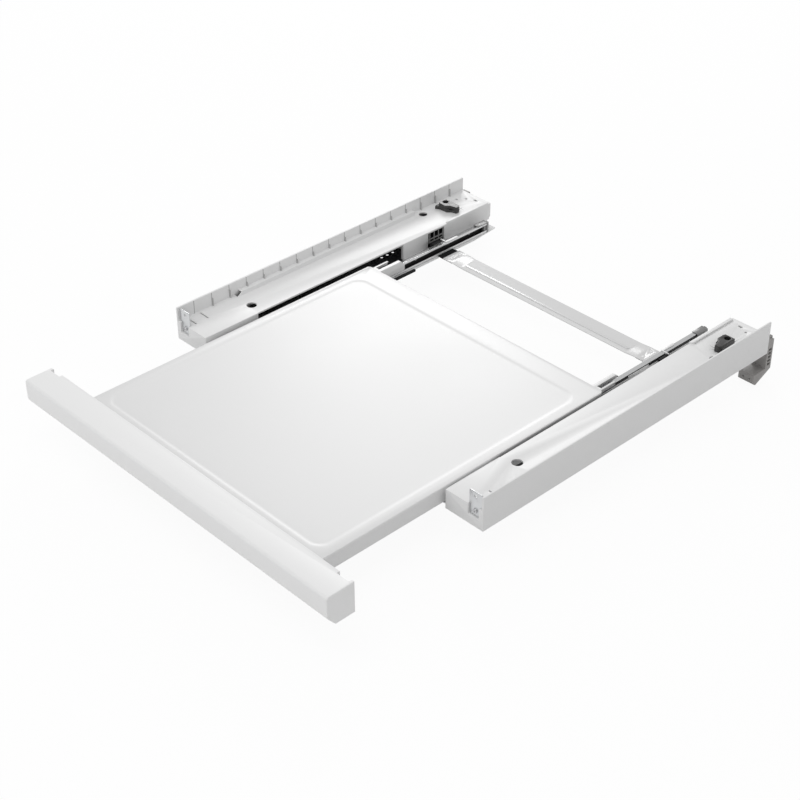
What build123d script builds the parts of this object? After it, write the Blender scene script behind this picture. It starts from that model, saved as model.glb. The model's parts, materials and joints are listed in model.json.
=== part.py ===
from build123d import *
import os

# Stacking kit with a pull-out shelf, in millimetres.
# The rails' undersides lie in the plane Z = 0, X = 0 is the kit's middle plane and Y points to the back.
# Y = 0 is the middle of the rear cross bar, so the rails' front faces stand at Y = -cross_bar_setback.
# The shelf is drawn pulled out by shelf_out. Sizes ending in _from_rear start at the rails' rear ends.

# Whole kit
kit_width = 600.0
rail_length = 566.5
rail_width = 64.3
cross_bar_from_rear = 124.5
shelf_out = 206.0

# Heights, from the slide up to the fin
slide_bottom = 1.4
slide_height = 16.0
bracket_over_slide = 6.3
bracket_sheet = 1.2
tray_depth = 0.6
panel_sheet = 1.0
deck_over_shelf = 3.1
fin_over_deck = 21.4

# Rail housing
wall = 2.5
fin_thickness = 3.0
edge_round = 0.8
bay_start = 94.5
bay_to_window = 51.7
bay_setback = 1.0
bay_return_depth = 5.5
window_ahead = 12.4
window_behind = 22.1
corner_cut_length = 9.0
corner_cut_height = 7.0
fin_rib_count = 16
fin_rib_first = 61.0
fin_rib_from_rear = 31.0
fin_rib_thickness = 1.5
fin_rib_depth = 3.2
fin_rib_under_top = 8.0
ledge_start = 101.7
ledge_from_rear = 113.7
ledge_width = 7.5
ledge_height = 6.5
ledge_nose = 9.0
ledge_shell = 1.2
ledge_mouth = 24.0
lip_from_rear = 5.5
lip_length = 91.0
lip_corner = 4.5
lip_width = 5.0
lip_height = 2.5
lip_groove_width = 1.9
lip_groove_depth = 1.5
foot_hole_radius = 7.5
foot_hole_in = 40.8
foot_hole_back = 102.0
access_hole_radius = 6.7
access_hole_in = 16.8
access_hole_from_rear = 101.5
slot_width = 2.0
slot_1_in = 18.6
slot_1_back = 14.0
slot_1_length = 16.0
slot_2_in = 16.0
slot_2_back = 36.0
slot_2_length = 19.5
rear_oval_in = 42.0
rear_oval_from_rear = 10.9
rear_oval_length = 7.0
rear_oval_width = 3.6
drain_hole_radius = 2.0
drain_hole_in = 27.7
drain_hole_from_rear = 17.4
clip_hole_in = 18.5
clip_hole_from_rear = 29.5
boss_radius = 4.5
boss_in = 33.0
front_boss_setback = 60.0
middle_boss_to_window = 27.6
rear_boss_from_rear = 41.5

# Front tab and its pocket
tab_thickness = 1.5
tab_in = 4.8
tab_width = 21.7
tab_under_fin_top = 1.0
tab_hole_radius = 2.25
tab_hole_in = 16.0
tab_hole_under_top = 6.0
tab_corner = 2.0
pocket_in = 7.8
pocket_width = 18.2
pocket_drop = 16.1
pocket_wall = 2.5
pocket_depth = 4.2
tab_side_gap = 1.0
tab_screw_over_floor = 8.2
tab_boss_length = 9.0

# Sheet-steel rail base
base_thickness = 1.2
base_edge_gap = 0.3
base_front = 6.0
base_from_rear = 14.0
upstand_under_slide_top = 1.9
upstand_from_rear = 45.5
upstand_low_under_slide_top = 5.3
upstand_tab_from_rear = 159.5
upstand_tab_length = 42.0
base_gap = 0.5
base_hole_radius = 2.2
base_hole_in = 34.0
base_hole_behind_bay = 6.0
base_hole_pitch = 11.5
base_hole_count = 3
base_under_slide = 11.5
base_taper_length = 52.0
base_taper_depth = 5.4
cleat_start = 1.2
cleat_length = 25.0
cleat_lip = 0.1
cleat_width = 3.8
bridge_length = 1.8
bridge_reach = 4.4

# Ball slides
bracket_slide_gap = 2.2
slide_depth = 7.8
slide_sheet = 1.2
slide_front = 8.0
slide_from_rear = 35.5
upper_curl = 3.0
lower_curl = 3.9
inner_depth = 3.9
inner_sheet = 1.1
inner_height = 9.6
inner_lip_gap = 0.3
inner_setback = 6.0
inner_rear_gap = 9.0
ball_radius = 1.0
ball_count = 12
ball_pitch = 15.0
cage_sheet = 0.6
cage_length = 180.0
cage_from_rear = 294.5
cage_hole_gap = 0.12
cap_cover = 19.0
cap_wall = 0.8
cap_side = 2.4
cap_skirt = 5.0
cap_rear_wall = 3.5
cap_plug = 5.0
cap_nub_length = 2.5
cap_nub_width = 4.5
cap_nub_drop = 0.6
rivet_count = 5
rivet_margin = 32.0
rivet_radius = 1.5
rivet_head_radius = 2.5
rivet_head_height = 1.0
fit_gap = 0.05

# Shelf panel
panel_side_gap = 6.9
panel_bottom = 3.5
panel_from_rear = 59.5
panel_bend = 1.6
panel_corner = 7.0
tray_side_margin = 14.0
tray_front_margin = 20.0
tray_rear_margin = 32.0
tray_ramp = 4.5
tray_corner = 22.0
front_flange_bottom = 4.5
rear_flange_bottom = 11.0
rear_flange_margin = 34.8

# Shelf brackets
bracket_inset = 6.2
bracket_inner_gap = 1.6
bracket_leg_bottom = 8.2
bracket_outer_over_slide = 2.0
bracket_behind_panel = 51.5
bracket_outer_behind_panel = 30.5
bracket_notch_behind_panel = 5.0
bracket_web_strip = 6.0
bracket_outer_strip = 3.0
bracket_corner = 7.5
bracket_rivet_under_slide_top = 5.1
bracket_rivet_radius = 1.4
bracket_rivet_count = 5
bracket_rivet_margin = 20.0

# Keeper arms
keeper_gap = 5.4
keeper_width = 4.5
keeper_bottom = 3.5
keeper_height = 3.2
keeper_under_panel = 69.0
keeper_behind_panel = 65.5
keeper_foot_length = 34.0
keeper_screw_height = 17.5

# Front bar
bar_gap = 0.7
bar_depth = 42.4
bar_over_deck = 15.8
bar_wall = 2.5
bar_top_round = 4.0
bar_back_round = 1.0
bar_slant_height = 15.0
bar_slant_depth = 12.4
bar_slant_round = 9.0
bar_end_round = 1.5
notch_in = 5.0
notch_width = 20.0
notch_depth = 5.0
notch_bottom = 16.0
bar_rib_thickness = 1.8
bar_rib_count = 6
bar_rib_margin = 75.0
bar_screw_count = 5
bar_screw_margin = 120.0
bar_screw_under_panel = 11.5
bar_boss_radius = 4.0
bar_boss_length = 12.0

# Rear cross bar and its plastic ends
bar_sheet = 1.2
cross_width = 35.0
cross_end_gap = 11.2
cross_joggle_gap = 46.0
cross_joggle_run = 14.0
cross_gap = 0.1
bead_offset = -6.5
bead_width = 5.0
bead_height = 0.9
bead_end_gap = 49.2
tongue_thickness = 1.1
tongue_gap = 29.2
tongue_side_gap = 1.0
end_block_depth = 26.0
end_block_inset = 0.5
end_block_gap = 1.4
end_pocket_depth = 9.0
end_pocket_top = 1.2
end_pocket_tall = 9.4
end_pocket_low = 3.6
end_pocket_columns = 4
end_pocket_width = 7.6
end_pocket_rib = 1.6
end_pocket_shelf = 2.0
post_length = 17.5
post_width = 8.0
post_under_slide_top = 1.0
cross_rivet_gap = 21.2
cross_rivet_spread = 18.0
cross_rivet_head = 0.5

# Rear hooks
hook_width = 25.8
hook_leg = 12.6
hook_leg_under_deck = 10.6
hook_lip_top = -26.0
hook_reach = 25.8
hook_heel = -29.6
hook_toe_bottom = -44.5
hook_toe_front = -40.0
hook_toe_run = 6.0
hook_round = 2.5
ear_radius = 4.0
ear_rise = 5.0
ear_width = 12.0
ear_hole_radius = 1.5
ear_hole_depth = 8.0
tooth_pocket_count = 5
tooth_pocket_pitch = 6.0
tooth_pocket_top = 3.4
tooth_pocket_size = 4.0
tooth_pocket_width = 7.0
tooth_pocket_depth = 8.0
lip_hole_radius = 1.1
lip_hole_depth = 10.0
lip_hole_height = -34.0
lip_hole_in = 6.8
lip_hole_spread = 10.6
hook_screw_in = 13.0
hook_screw_spread = 7.5
hook_screw_height = 10.0
hook_sink_depth = 3.0

# Foot clamps, each drawn with its pivot at the origin and its arm along X
clamp_in = 26.5
clamp_from_rear = 62.0
clamp_height = 10.3
clamp_low_height = 5.4
clamp_lift = 0.3
clamp_heel = 6.7
clamp_back = 8.0
clamp_front = 10.0
clamp_shoulder = 9.0
clamp_arm = 25.5
clamp_arm_front = 4.3
clamp_tip_front = 2.0
clamp_tip_back = 4.5
clamp_chamfer = 3.5
clamp_neck = 5.0
wing_reach = 8.4
wing_front = 15.2
wing_root = 3.4
clamp_nub = 3.0
clamp_corner_round = 1.0
clamp_bore_radius = 2.6
clamp_sink_radius = 4.6
clamp_sink_depth = 6.0
clamp_edge_round = 0.8

# Fasteners
screw_radius = 1.9
head_radius = 3.3
head_height = 2.0
recess_length = 3.4
recess_width = 0.9
recess_depth = 1.2
tab_screw_length = 10.0
base_screw_length = 10.0
base_screw_cone = 1.0
bar_screw_length = 11.0
hook_screw_length = 14.0
pivot_radius = 2.5
pivot_head_radius = 4.0
pivot_head_height = 2.6
pivot_length = 12.0

# Heights that follow
slide_top = slide_bottom + slide_height
tray_under = slide_top + bracket_over_slide + bracket_sheet
panel_top = tray_under + tray_depth + panel_sheet
deck_top = panel_top + deck_over_shelf
deck_under = deck_top - wall
fin_top = deck_top + fin_over_deck
tab_top = fin_top - tab_under_fin_top
tab_hole_height = tab_top - tab_hole_under_top
pocket_floor = deck_top - pocket_drop
tab_screw_height = pocket_floor + tab_screw_over_floor
hook_leg_top = deck_top - hook_leg_under_deck
ear_height = hook_leg_top + ear_rise
bar_top = deck_top + bar_over_deck
bar_screw_height = panel_top - bar_screw_under_panel
cavity_low = slide_bottom + slide_sheet
cavity_high = slide_top - slide_sheet
slide_middle = (cavity_low + cavity_high) / 2
inner_low = slide_middle - inner_height / 2
inner_high = slide_middle + inner_height / 2
ball_high = (inner_high + cavity_high) / 2
ball_low = (inner_low + cavity_low) / 2
bracket_rivet_height = slide_top - bracket_rivet_under_slide_top

# Places across the kit that follow
half_width = kit_width / 2
rail_inner = half_width - rail_width
fin_inner = half_width - fin_thickness
panel_half = rail_inner - panel_side_gap
panel_width = 2 * panel_half
bracket_end_x = panel_half - bracket_inset
upstand_x = bracket_end_x - bracket_sheet - bracket_slide_gap - rivet_head_height
slide_outer_x = upstand_x - base_thickness
slide_inner_x = slide_outer_x - slide_depth
cavity_inner = slide_inner_x + slide_sheet
cavity_outer = slide_outer_x - slide_sheet
inner_face = cavity_inner + inner_lip_gap
inner_back = inner_face + inner_depth
ball_x = (inner_face + inner_back) / 2
bracket_x = slide_inner_x - bracket_inner_gap - bracket_sheet
keeper_x = bracket_x - keeper_gap
cross_rivet_x = slide_inner_x - cross_rivet_gap

# Places from front to back that follow
cross_bar_setback = rail_length - cross_bar_from_rear
y_front = -cross_bar_setback
y_back = y_front + rail_length
window_start = cross_bar_setback - window_ahead
window_end = cross_bar_setback + window_behind
bay_end = window_start - bay_to_window
slide_rear = rail_length - slide_from_rear
inner_front = inner_setback - shelf_out
inner_rear = slide_rear - inner_rear_gap - shelf_out
bar_back = -bar_gap - shelf_out
bar_front = bar_back - bar_depth
panel_rear = rail_length - panel_from_rear - shelf_out
bracket_rear = panel_rear + bracket_behind_panel
keeper_front = panel_rear - keeper_under_panel
keeper_rear = panel_rear + keeper_behind_panel
over = 1.0


def evenly(first, last, count):
    """Places at one pitch from the first to the last."""
    pitch = (last - first) / (count - 1)
    return [first + number * pitch for number in range(count)]


boss_setbacks = (
    front_boss_setback,
    window_start - middle_boss_to_window,
    rail_length - rear_boss_from_rear,
)
slide_rivet_setbacks = evenly(slide_front + rivet_margin, slide_rear - rivet_margin, rivet_count)
bracket_rivet_setbacks = evenly(
    inner_front + bracket_rivet_margin,
    inner_rear - bracket_rivet_margin,
    bracket_rivet_count,
)
bar_rib_places = evenly(bar_rib_margin - half_width, half_width - bar_rib_margin, bar_rib_count)
bar_screw_places = evenly(bar_screw_margin - half_width, half_width - bar_screw_margin, bar_screw_count)
hook_screw_ins = (hook_screw_in, hook_screw_in + hook_screw_spread)
lip_hole_ins = (lip_hole_in, lip_hole_in + lip_hole_spread)

BOTTOM = (Align.CENTER, Align.CENTER, Align.MIN)
TOP = (Align.CENTER, Align.CENTER, Align.MAX)


def behind(setback):
    """The Y of a point that lies a given distance behind the rails' front faces."""
    return y_front + setback


def block(x, y, z, mode=Mode.ADD):
    """A box between low and high values along each axis."""
    with Locations(((x[0] + x[1]) / 2, (y[0] + y[1]) / 2, (z[0] + z[1]) / 2)):
        Box(x[1] - x[0], y[1] - y[0], z[1] - z[0], mode=mode)


def rod(start, direction, radius, length, mode=Mode.ADD):
    """A cylinder that runs from a point along a direction."""
    with Locations(Plane(origin=start, z_dir=direction)):
        Cylinder(radius, length, align=BOTTOM, mode=mode)


def pan_screw(seat, outward, length, radius=screw_radius, head=head_radius, height=head_height):
    """A cross-recess screw whose head stands on its seat and whose shank goes the other way."""
    head_plane = Plane(origin=seat, z_dir=outward)
    with Locations(head_plane):
        Cylinder(radius, length, align=TOP)
        Cylinder(head, height, align=BOTTOM)
    with Locations(head_plane.offset(height)):
        Box(recess_length, recess_width, 2 * recess_depth, mode=Mode.SUBTRACT)
        Box(recess_width, recess_length, 2 * recess_depth, mode=Mode.SUBTRACT)


def finish(piece, name):
    """Labels a finished piece and writes it."""
    piece.part.label = name
    export_step(piece.part, f"parts/{name}.step")


def finish_pair(right_piece, name):
    """Writes a right-hand piece and its mirror image on the left."""
    with BuildPart() as left_piece:
        mirror(right_piece.part, about=Plane.YZ)
    finish(right_piece, f"right_{name}")
    finish(left_piece, f"left_{name}")


os.makedirs("parts", exist_ok=True)

# Rail housing: a moulded channel, open below, with a tall fin along its outer edge
with BuildPart() as rail_housing:
    with BuildSketch(Plane.XZ.offset(-y_front)) as rail_section:
        with BuildLine():
            Polyline(
                (rail_inner, 0),
                (half_width, 0),
                (half_width, fin_top),
                (fin_inner, fin_top),
                (fin_inner, deck_top),
                (rail_inner, deck_top),
                close=True,
            )
        make_face()
        upper_corners = rail_section.vertices().filter_by_position(Axis.Y, deck_top - over, fin_top + over)
        fillet(upper_corners, edge_round)
    extrude(amount=-rail_length)
    block(
        (rail_inner + wall, fin_inner),
        (y_front + wall, y_back - wall),
        (-over, deck_under),
        mode=Mode.SUBTRACT,
    )
    # The inner wall has an open bay and a window, and its foot clears the sheet-steel base
    for start, end in ((bay_start, bay_end), (window_start, window_end)):
        block(
            (rail_inner - over, rail_inner + wall),
            (behind(start), behind(end)),
            (-over, deck_under),
            mode=Mode.SUBTRACT,
        )
    block(
        (rail_inner - over, rail_inner + wall),
        (behind(base_front) - base_gap, y_back - base_from_rear + base_gap),
        (-over, base_thickness + base_gap),
        mode=Mode.SUBTRACT,
    )
    block(
        (rail_inner - over, rail_inner + bay_setback),
        (behind(bay_start), behind(bay_end)),
        (deck_under - over, deck_top + over),
        mode=Mode.SUBTRACT,
    )
    block(
        (rail_inner, rail_inner + bay_return_depth),
        (behind(bay_end), behind(bay_end) + wall),
        (base_thickness + base_gap, deck_under + over),
    )
    with BuildSketch(Plane.YZ.offset(rail_inner - over)):
        with BuildLine():
            Polyline(
                (y_back - corner_cut_length, -over),
                (y_back + over, -over),
                (y_back + over, corner_cut_height),
                (y_back, corner_cut_height),
                close=True,
            )
        make_face()
    extrude(amount=over + wall, mode=Mode.SUBTRACT)
    # Ledge and ribs on the fin's inner side, and a lip along the deck's inner edge
    with BuildSketch(Plane.YZ.offset(fin_inner - ledge_width)):
        with BuildLine():
            Polyline(
                (behind(ledge_start), deck_top),
                (y_back - ledge_from_rear, deck_top),
                (y_back - ledge_from_rear, deck_top + ledge_height),
                (behind(ledge_start + ledge_nose), deck_top + ledge_height),
                close=True,
            )
        make_face()
    extrude(amount=ledge_width + wall / 2)
    for setback in evenly(fin_rib_first, rail_length - fin_rib_from_rear, fin_rib_count):
        block(
            (fin_inner - fin_rib_depth, fin_inner + wall / 2),
            (behind(setback) - fin_rib_thickness / 2, behind(setback) + fin_rib_thickness / 2),
            (deck_top - wall / 2, fin_top - fin_rib_under_top),
        )
    block(
        (fin_inner - ledge_width + ledge_shell, fin_inner),
        (behind(ledge_start), behind(ledge_start + ledge_mouth)),
        (deck_under - over, deck_top + ledge_height - ledge_shell),
        mode=Mode.SUBTRACT,
    )
    lip_y = (y_back - lip_from_rear - lip_length, y_back - lip_from_rear)
    with BuildSketch(Plane.XY.offset(deck_top - wall / 2)) as lip_plan:
        with BuildLine():
            Polyline(
                (rail_inner, lip_y[0]),
                (rail_inner + lip_width, lip_y[0]),
                (rail_inner + lip_width, lip_y[1]),
                (rail_inner, lip_y[1]),
                close=True,
            )
        make_face()
        front = lip_plan.vertices().filter_by_position(Axis.Y, lip_y[0] - fit_gap, lip_y[0] + fit_gap)
        fillet(front.sort_by(Axis.X)[-1], lip_corner)
    extrude(amount=wall / 2 + lip_height)
    block(
        (rail_inner + lip_width, rail_inner + lip_width + lip_groove_width),
        (lip_y[0] + lip_corner, lip_y[1]),
        (deck_top - lip_groove_depth, deck_top + over),
        mode=Mode.SUBTRACT,
    )
    # Screw bosses under the deck, the tab's boss at the front and the hook's at the back
    for setback in boss_setbacks:
        rod((half_width - boss_in, behind(setback), base_thickness), (0, 0, 1), boss_radius, deck_under)
        rod(
            (half_width - boss_in, behind(setback), 0),
            (0, 0, 1),
            screw_radius + fit_gap,
            base_screw_length + over,
            mode=Mode.SUBTRACT,
        )
    block(
        (half_width - pocket_in - pocket_width - pocket_wall, fin_inner + over),
        (y_front, behind(pocket_depth + pocket_wall)),
        (pocket_floor - pocket_wall, deck_top - edge_round),
    )
    rod(
        (half_width - tab_hole_in, behind(pocket_depth), tab_screw_height),
        (0, 1, 0),
        boss_radius,
        tab_boss_length,
    )
    block(
        (half_width - pocket_in - pocket_width, half_width - pocket_in),
        (y_front - over, behind(pocket_depth)),
        (pocket_floor, deck_top + over),
        mode=Mode.SUBTRACT,
    )
    rod(
        (half_width - tab_hole_in, behind(pocket_depth) - over, tab_screw_height),
        (0, 1, 0),
        screw_radius + fit_gap,
        tab_boss_length + over,
        mode=Mode.SUBTRACT,
    )
    for inset in hook_screw_ins:
        rod(
            (half_width - inset, y_back - wall, hook_screw_height),
            (0, -1, 0),
            boss_radius,
            tab_boss_length - wall,
        )
        rod(
            (half_width - inset, y_back + over, hook_screw_height),
            (0, -1, 0),
            screw_radius + fit_gap,
            tab_boss_length + over,
            mode=Mode.SUBTRACT,
        )
    # Holes and slots through the deck
    with BuildSketch(Plane.XY.offset(deck_under - over)):
        with Locations((half_width - foot_hole_in, behind(foot_hole_back))):
            Circle(foot_hole_radius)
        with Locations((half_width - access_hole_in, y_back - access_hole_from_rear)):
            Circle(access_hole_radius)
        with Locations(
            (half_width - drain_hole_in, y_back - drain_hole_from_rear),
            (half_width - clip_hole_in, y_back - clip_hole_from_rear),
        ):
            Circle(drain_hole_radius)
        with Locations((half_width - clamp_in, y_back - clamp_from_rear)):
            Circle(pivot_radius + fit_gap)
        with Locations((half_width - slot_1_in, behind(slot_1_back))):
            SlotOverall(slot_1_length, slot_width)
        with Locations((half_width - slot_2_in, behind(slot_2_back))):
            SlotOverall(slot_2_length, slot_width)
        with Locations((half_width - rear_oval_in, y_back - rear_oval_from_rear)):
            SlotOverall(rear_oval_length, rear_oval_width)
    extrude(amount=wall + 2 * over, mode=Mode.SUBTRACT)
finish_pair(rail_housing, "rail_housing")

# Rail base: a steel plate inside the housing, folded up behind the ball slide. A tab and a narrow ear rise
# from the fold, and the ear holds a cleat that lies on the slide's top
base_outer = fin_inner - base_edge_gap
base_y = (behind(base_front), y_back - base_from_rear)
fold_x = (slide_outer_x, upstand_x)
notch_y = (-cross_width / 2 - base_gap, cross_width / 2 + base_gap)
strip_inner = slide_outer_x - base_under_slide
notch_top = tongue_thickness + base_gap
cleat_y = (cleat_start, cleat_start + cleat_length)
cleat_top = slide_top + fit_gap + base_thickness
cleat_x = (slide_inner_x + cleat_lip, slide_inner_x + cleat_lip + cleat_width)
bridge_y = (cleat_y[0], cleat_y[0] + bridge_length)
tab_end = y_back - upstand_tab_from_rear
with BuildPart() as rail_base:
    block((strip_inner, base_outer), base_y, (0, base_thickness))
    with BuildSketch(Plane.XY.offset(-over)):
        with BuildLine():
            Polyline(
                (strip_inner, base_y[1] - base_taper_length),
                (strip_inner + base_taper_depth, base_y[1]),
                (strip_inner + base_taper_depth, base_y[1] + over),
                (strip_inner - over, base_y[1] + over),
                (strip_inner - over, base_y[1] - base_taper_length),
                close=True,
            )
        make_face()
    extrude(amount=2 * over + base_thickness, mode=Mode.SUBTRACT)
    block(
        fold_x,
        (base_y[0], y_back - upstand_from_rear),
        (0, slide_top - upstand_low_under_slide_top),
    )
    block(
        fold_x,
        (tab_end - upstand_tab_length, tab_end),
        (0, slide_top - upstand_under_slide_top),
    )
    block(fold_x, bridge_y, (0, cleat_top))
    block((cleat_x[0], upstand_x + bridge_reach), bridge_y, (slide_top + fit_gap, cleat_top))
    block(cleat_x, cleat_y, (slide_top + fit_gap, cleat_top))
    # The cross bar's plastic end passes under the slide, through the fold and into a cut-out in the plate
    block((strip_inner - over, upstand_x), notch_y, (-over, notch_top), mode=Mode.SUBTRACT)
    block(
        (upstand_x - base_gap / 2, rail_inner + end_block_inset + end_block_depth + base_gap),
        (notch_y[0], behind(window_end)),
        (-over, notch_top),
        mode=Mode.SUBTRACT,
    )
    for number in range(base_hole_count):
        hole_y = behind(bay_end + base_hole_behind_bay - number * base_hole_pitch)
        with Locations((half_width - base_hole_in, hole_y, 0)):
            Cylinder(base_hole_radius, 3 * base_thickness, mode=Mode.SUBTRACT)
    for setback in boss_setbacks:
        with Locations((half_width - boss_in, behind(setback), 0)):
            Cylinder(screw_radius + fit_gap, 3 * base_thickness, mode=Mode.SUBTRACT)
            Cone(
                head_radius + fit_gap,
                screw_radius + fit_gap,
                base_screw_cone,
                align=BOTTOM,
                mode=Mode.SUBTRACT,
            )
    for setback in slide_rivet_setbacks:
        rod(
            (slide_outer_x - over, behind(setback), slide_middle),
            (1, 0, 0),
            rivet_radius + fit_gap,
            base_thickness + 2 * over,
            mode=Mode.SUBTRACT,
        )
finish_pair(rail_base, "rail_base")

# Countersunk screws that hold each base in its housing
with BuildPart() as base_screws:
    for side in (-1, 1):
        for setback in boss_setbacks:
            with Locations((side * (half_width - boss_in), behind(setback), 0)):
                Cone(head_radius, screw_radius, base_screw_cone, align=BOTTOM)
                Cylinder(screw_radius, base_screw_length, align=BOTTOM)
                Box(recess_length, recess_width, recess_depth, mode=Mode.SUBTRACT)
                Box(recess_width, recess_length, recess_depth, mode=Mode.SUBTRACT)
finish(base_screws, "base_screws")

# Front tab: a steel plate that stands in the housing's front pocket, with a hole for the upper machine
tab_front = behind(pocket_depth - tab_thickness)
with BuildPart() as front_tab:
    with BuildSketch(Plane.XZ.offset(-tab_front)) as tab_outline:
        tab_outer = half_width - tab_in
        tab_inner = tab_outer - tab_width
        foot_outer = half_width - pocket_in - tab_side_gap
        foot_inner = half_width - pocket_in - pocket_width + tab_side_gap
        with BuildLine():
            Polyline(
                (foot_inner, pocket_floor + tab_side_gap),
                (foot_outer, pocket_floor + tab_side_gap),
                (foot_outer, deck_top + fit_gap),
                (tab_outer, deck_top + fit_gap),
                (tab_outer, tab_top),
                (tab_inner, tab_top),
                (tab_inner, deck_top + fit_gap),
                (foot_inner, deck_top + fit_gap),
                close=True,
            )
        make_face()
        fillet(tab_outline.vertices().group_by(Axis.Y)[-1], tab_corner)
        with Locations((half_width - tab_hole_in, tab_hole_height)):
            Circle(tab_hole_radius, mode=Mode.SUBTRACT)
        with Locations((half_width - tab_hole_in, tab_screw_height)):
            Circle(screw_radius + fit_gap, mode=Mode.SUBTRACT)
    extrude(amount=-tab_thickness)
finish_pair(front_tab, "front_tab")

with BuildPart() as front_tab_screws:
    for side in (-1, 1):
        pan_screw(
            (side * (half_width - tab_hole_in), tab_front, tab_screw_height),
            (0, -1, 0),
            tab_screw_length,
        )
finish(front_tab_screws, "front_tab_screws")

# Rear hook: a moulded J that reaches down behind the lower machine and forward under its top
hook_inner = half_width - hook_width
hook_back = y_back + hook_leg
with BuildPart() as rear_hook:
    with BuildSketch(Plane.YZ.offset(hook_inner)) as hook_profile:
        with BuildLine():
            Polyline(
                (y_back, hook_leg_top),
                (hook_back, hook_leg_top),
                (hook_back, hook_heel),
                (y_back - hook_reach + hook_toe_run, hook_toe_bottom),
                (y_back - hook_reach, hook_toe_front),
                (y_back - hook_reach, hook_lip_top),
                (y_back, hook_lip_top),
                close=True,
            )
        make_face()
        low_corners = hook_profile.vertices().filter_by_position(
            Axis.Y, hook_toe_bottom - over, hook_lip_top - over
        )
        fillet(low_corners, hook_round)
    extrude(amount=hook_width)
    rod(
        (half_width - ear_width, y_back + ear_radius, ear_height),
        (1, 0, 0),
        ear_radius,
        ear_width,
    )
    block(
        (half_width - ear_width, half_width),
        (y_back, y_back + 2 * ear_radius),
        (hook_leg_top - over, ear_height),
    )
    rod(
        (half_width + over, y_back + ear_radius, ear_height),
        (-1, 0, 0),
        ear_hole_radius,
        ear_hole_depth + over,
        mode=Mode.SUBTRACT,
    )
    pocket_y = y_back + hook_leg / 2
    for tooth in range(tooth_pocket_count):
        pocket_z = tooth_pocket_top - tooth * tooth_pocket_pitch
        block(
            (half_width - tooth_pocket_depth, half_width + over),
            (pocket_y - tooth_pocket_width / 2, pocket_y + tooth_pocket_width / 2),
            (pocket_z - tooth_pocket_size / 2, pocket_z + tooth_pocket_size / 2),
            mode=Mode.SUBTRACT,
        )
    for inset in lip_hole_ins:
        rod(
            (half_width - inset, y_back - hook_reach - over, lip_hole_height),
            (0, 1, 0),
            lip_hole_radius,
            lip_hole_depth + over,
            mode=Mode.SUBTRACT,
        )
    for inset in hook_screw_ins:
        screw_x = half_width - inset
        rod(
            (screw_x, y_back - over, hook_screw_height),
            (0, 1, 0),
            screw_radius + fit_gap,
            2 * hook_leg,
            mode=Mode.SUBTRACT,
        )
        rod(
            (screw_x, hook_back + over, hook_screw_height),
            (0, -1, 0),
            head_radius + fit_gap,
            hook_sink_depth + over,
            mode=Mode.SUBTRACT,
        )
finish_pair(rear_hook, "rear_hook")

with BuildPart() as rear_hook_screws:
    for side in (-1, 1):
        for inset in hook_screw_ins:
            pan_screw(
                (side * (half_width - inset), hook_back - hook_sink_depth, hook_screw_height),
                (0, 1, 0),
                hook_screw_length,
            )
finish(rear_hook_screws, "rear_hook_screws")

# Rear cross bar: a flat steel strip with a bead, raised at its ends over the plastic tongues
cross_half_length = slide_inner_x - cross_end_gap
joggle_x = slide_inner_x - cross_joggle_gap
raised_x = joggle_x + cross_joggle_run
raised = tongue_thickness + cross_gap
bead_length = 2 * (slide_inner_x - bead_end_gap)
rivet_spreads = (-cross_rivet_spread / 2, cross_rivet_spread / 2)
with BuildPart() as rear_cross_bar:
    with BuildSketch(Plane.XZ.offset(cross_width / 2)):
        with BuildLine():
            Polyline(
                (-cross_half_length, raised),
                (-raised_x, raised),
                (-joggle_x, 0),
                (joggle_x, 0),
                (raised_x, raised),
                (cross_half_length, raised),
                (cross_half_length, raised + bar_sheet),
                (raised_x, raised + bar_sheet),
                (joggle_x, bar_sheet),
                (-joggle_x, bar_sheet),
                (-raised_x, raised + bar_sheet),
                (-cross_half_length, raised + bar_sheet),
                close=True,
            )
        make_face()
    extrude(amount=-cross_width)
    with BuildSketch(Plane.XY.offset(bar_sheet)):
        with Locations((0, bead_offset)):
            SlotOverall(bead_length, bead_width)
    extrude(amount=bead_height)
    with BuildSketch(Plane.XY):
        with Locations((0, bead_offset)):
            SlotOverall(bead_length - bar_sheet, bead_width - bar_sheet)
    extrude(amount=bead_height, mode=Mode.SUBTRACT)
    for side in (-1, 1):
        for spread in rivet_spreads:
            rod(
                (side * cross_rivet_x, spread, 0),
                (0, 0, 1),
                rivet_radius + fit_gap,
                raised + bar_sheet + over,
                mode=Mode.SUBTRACT,
            )
finish(rear_cross_bar, "rear_cross_bar")

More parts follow.
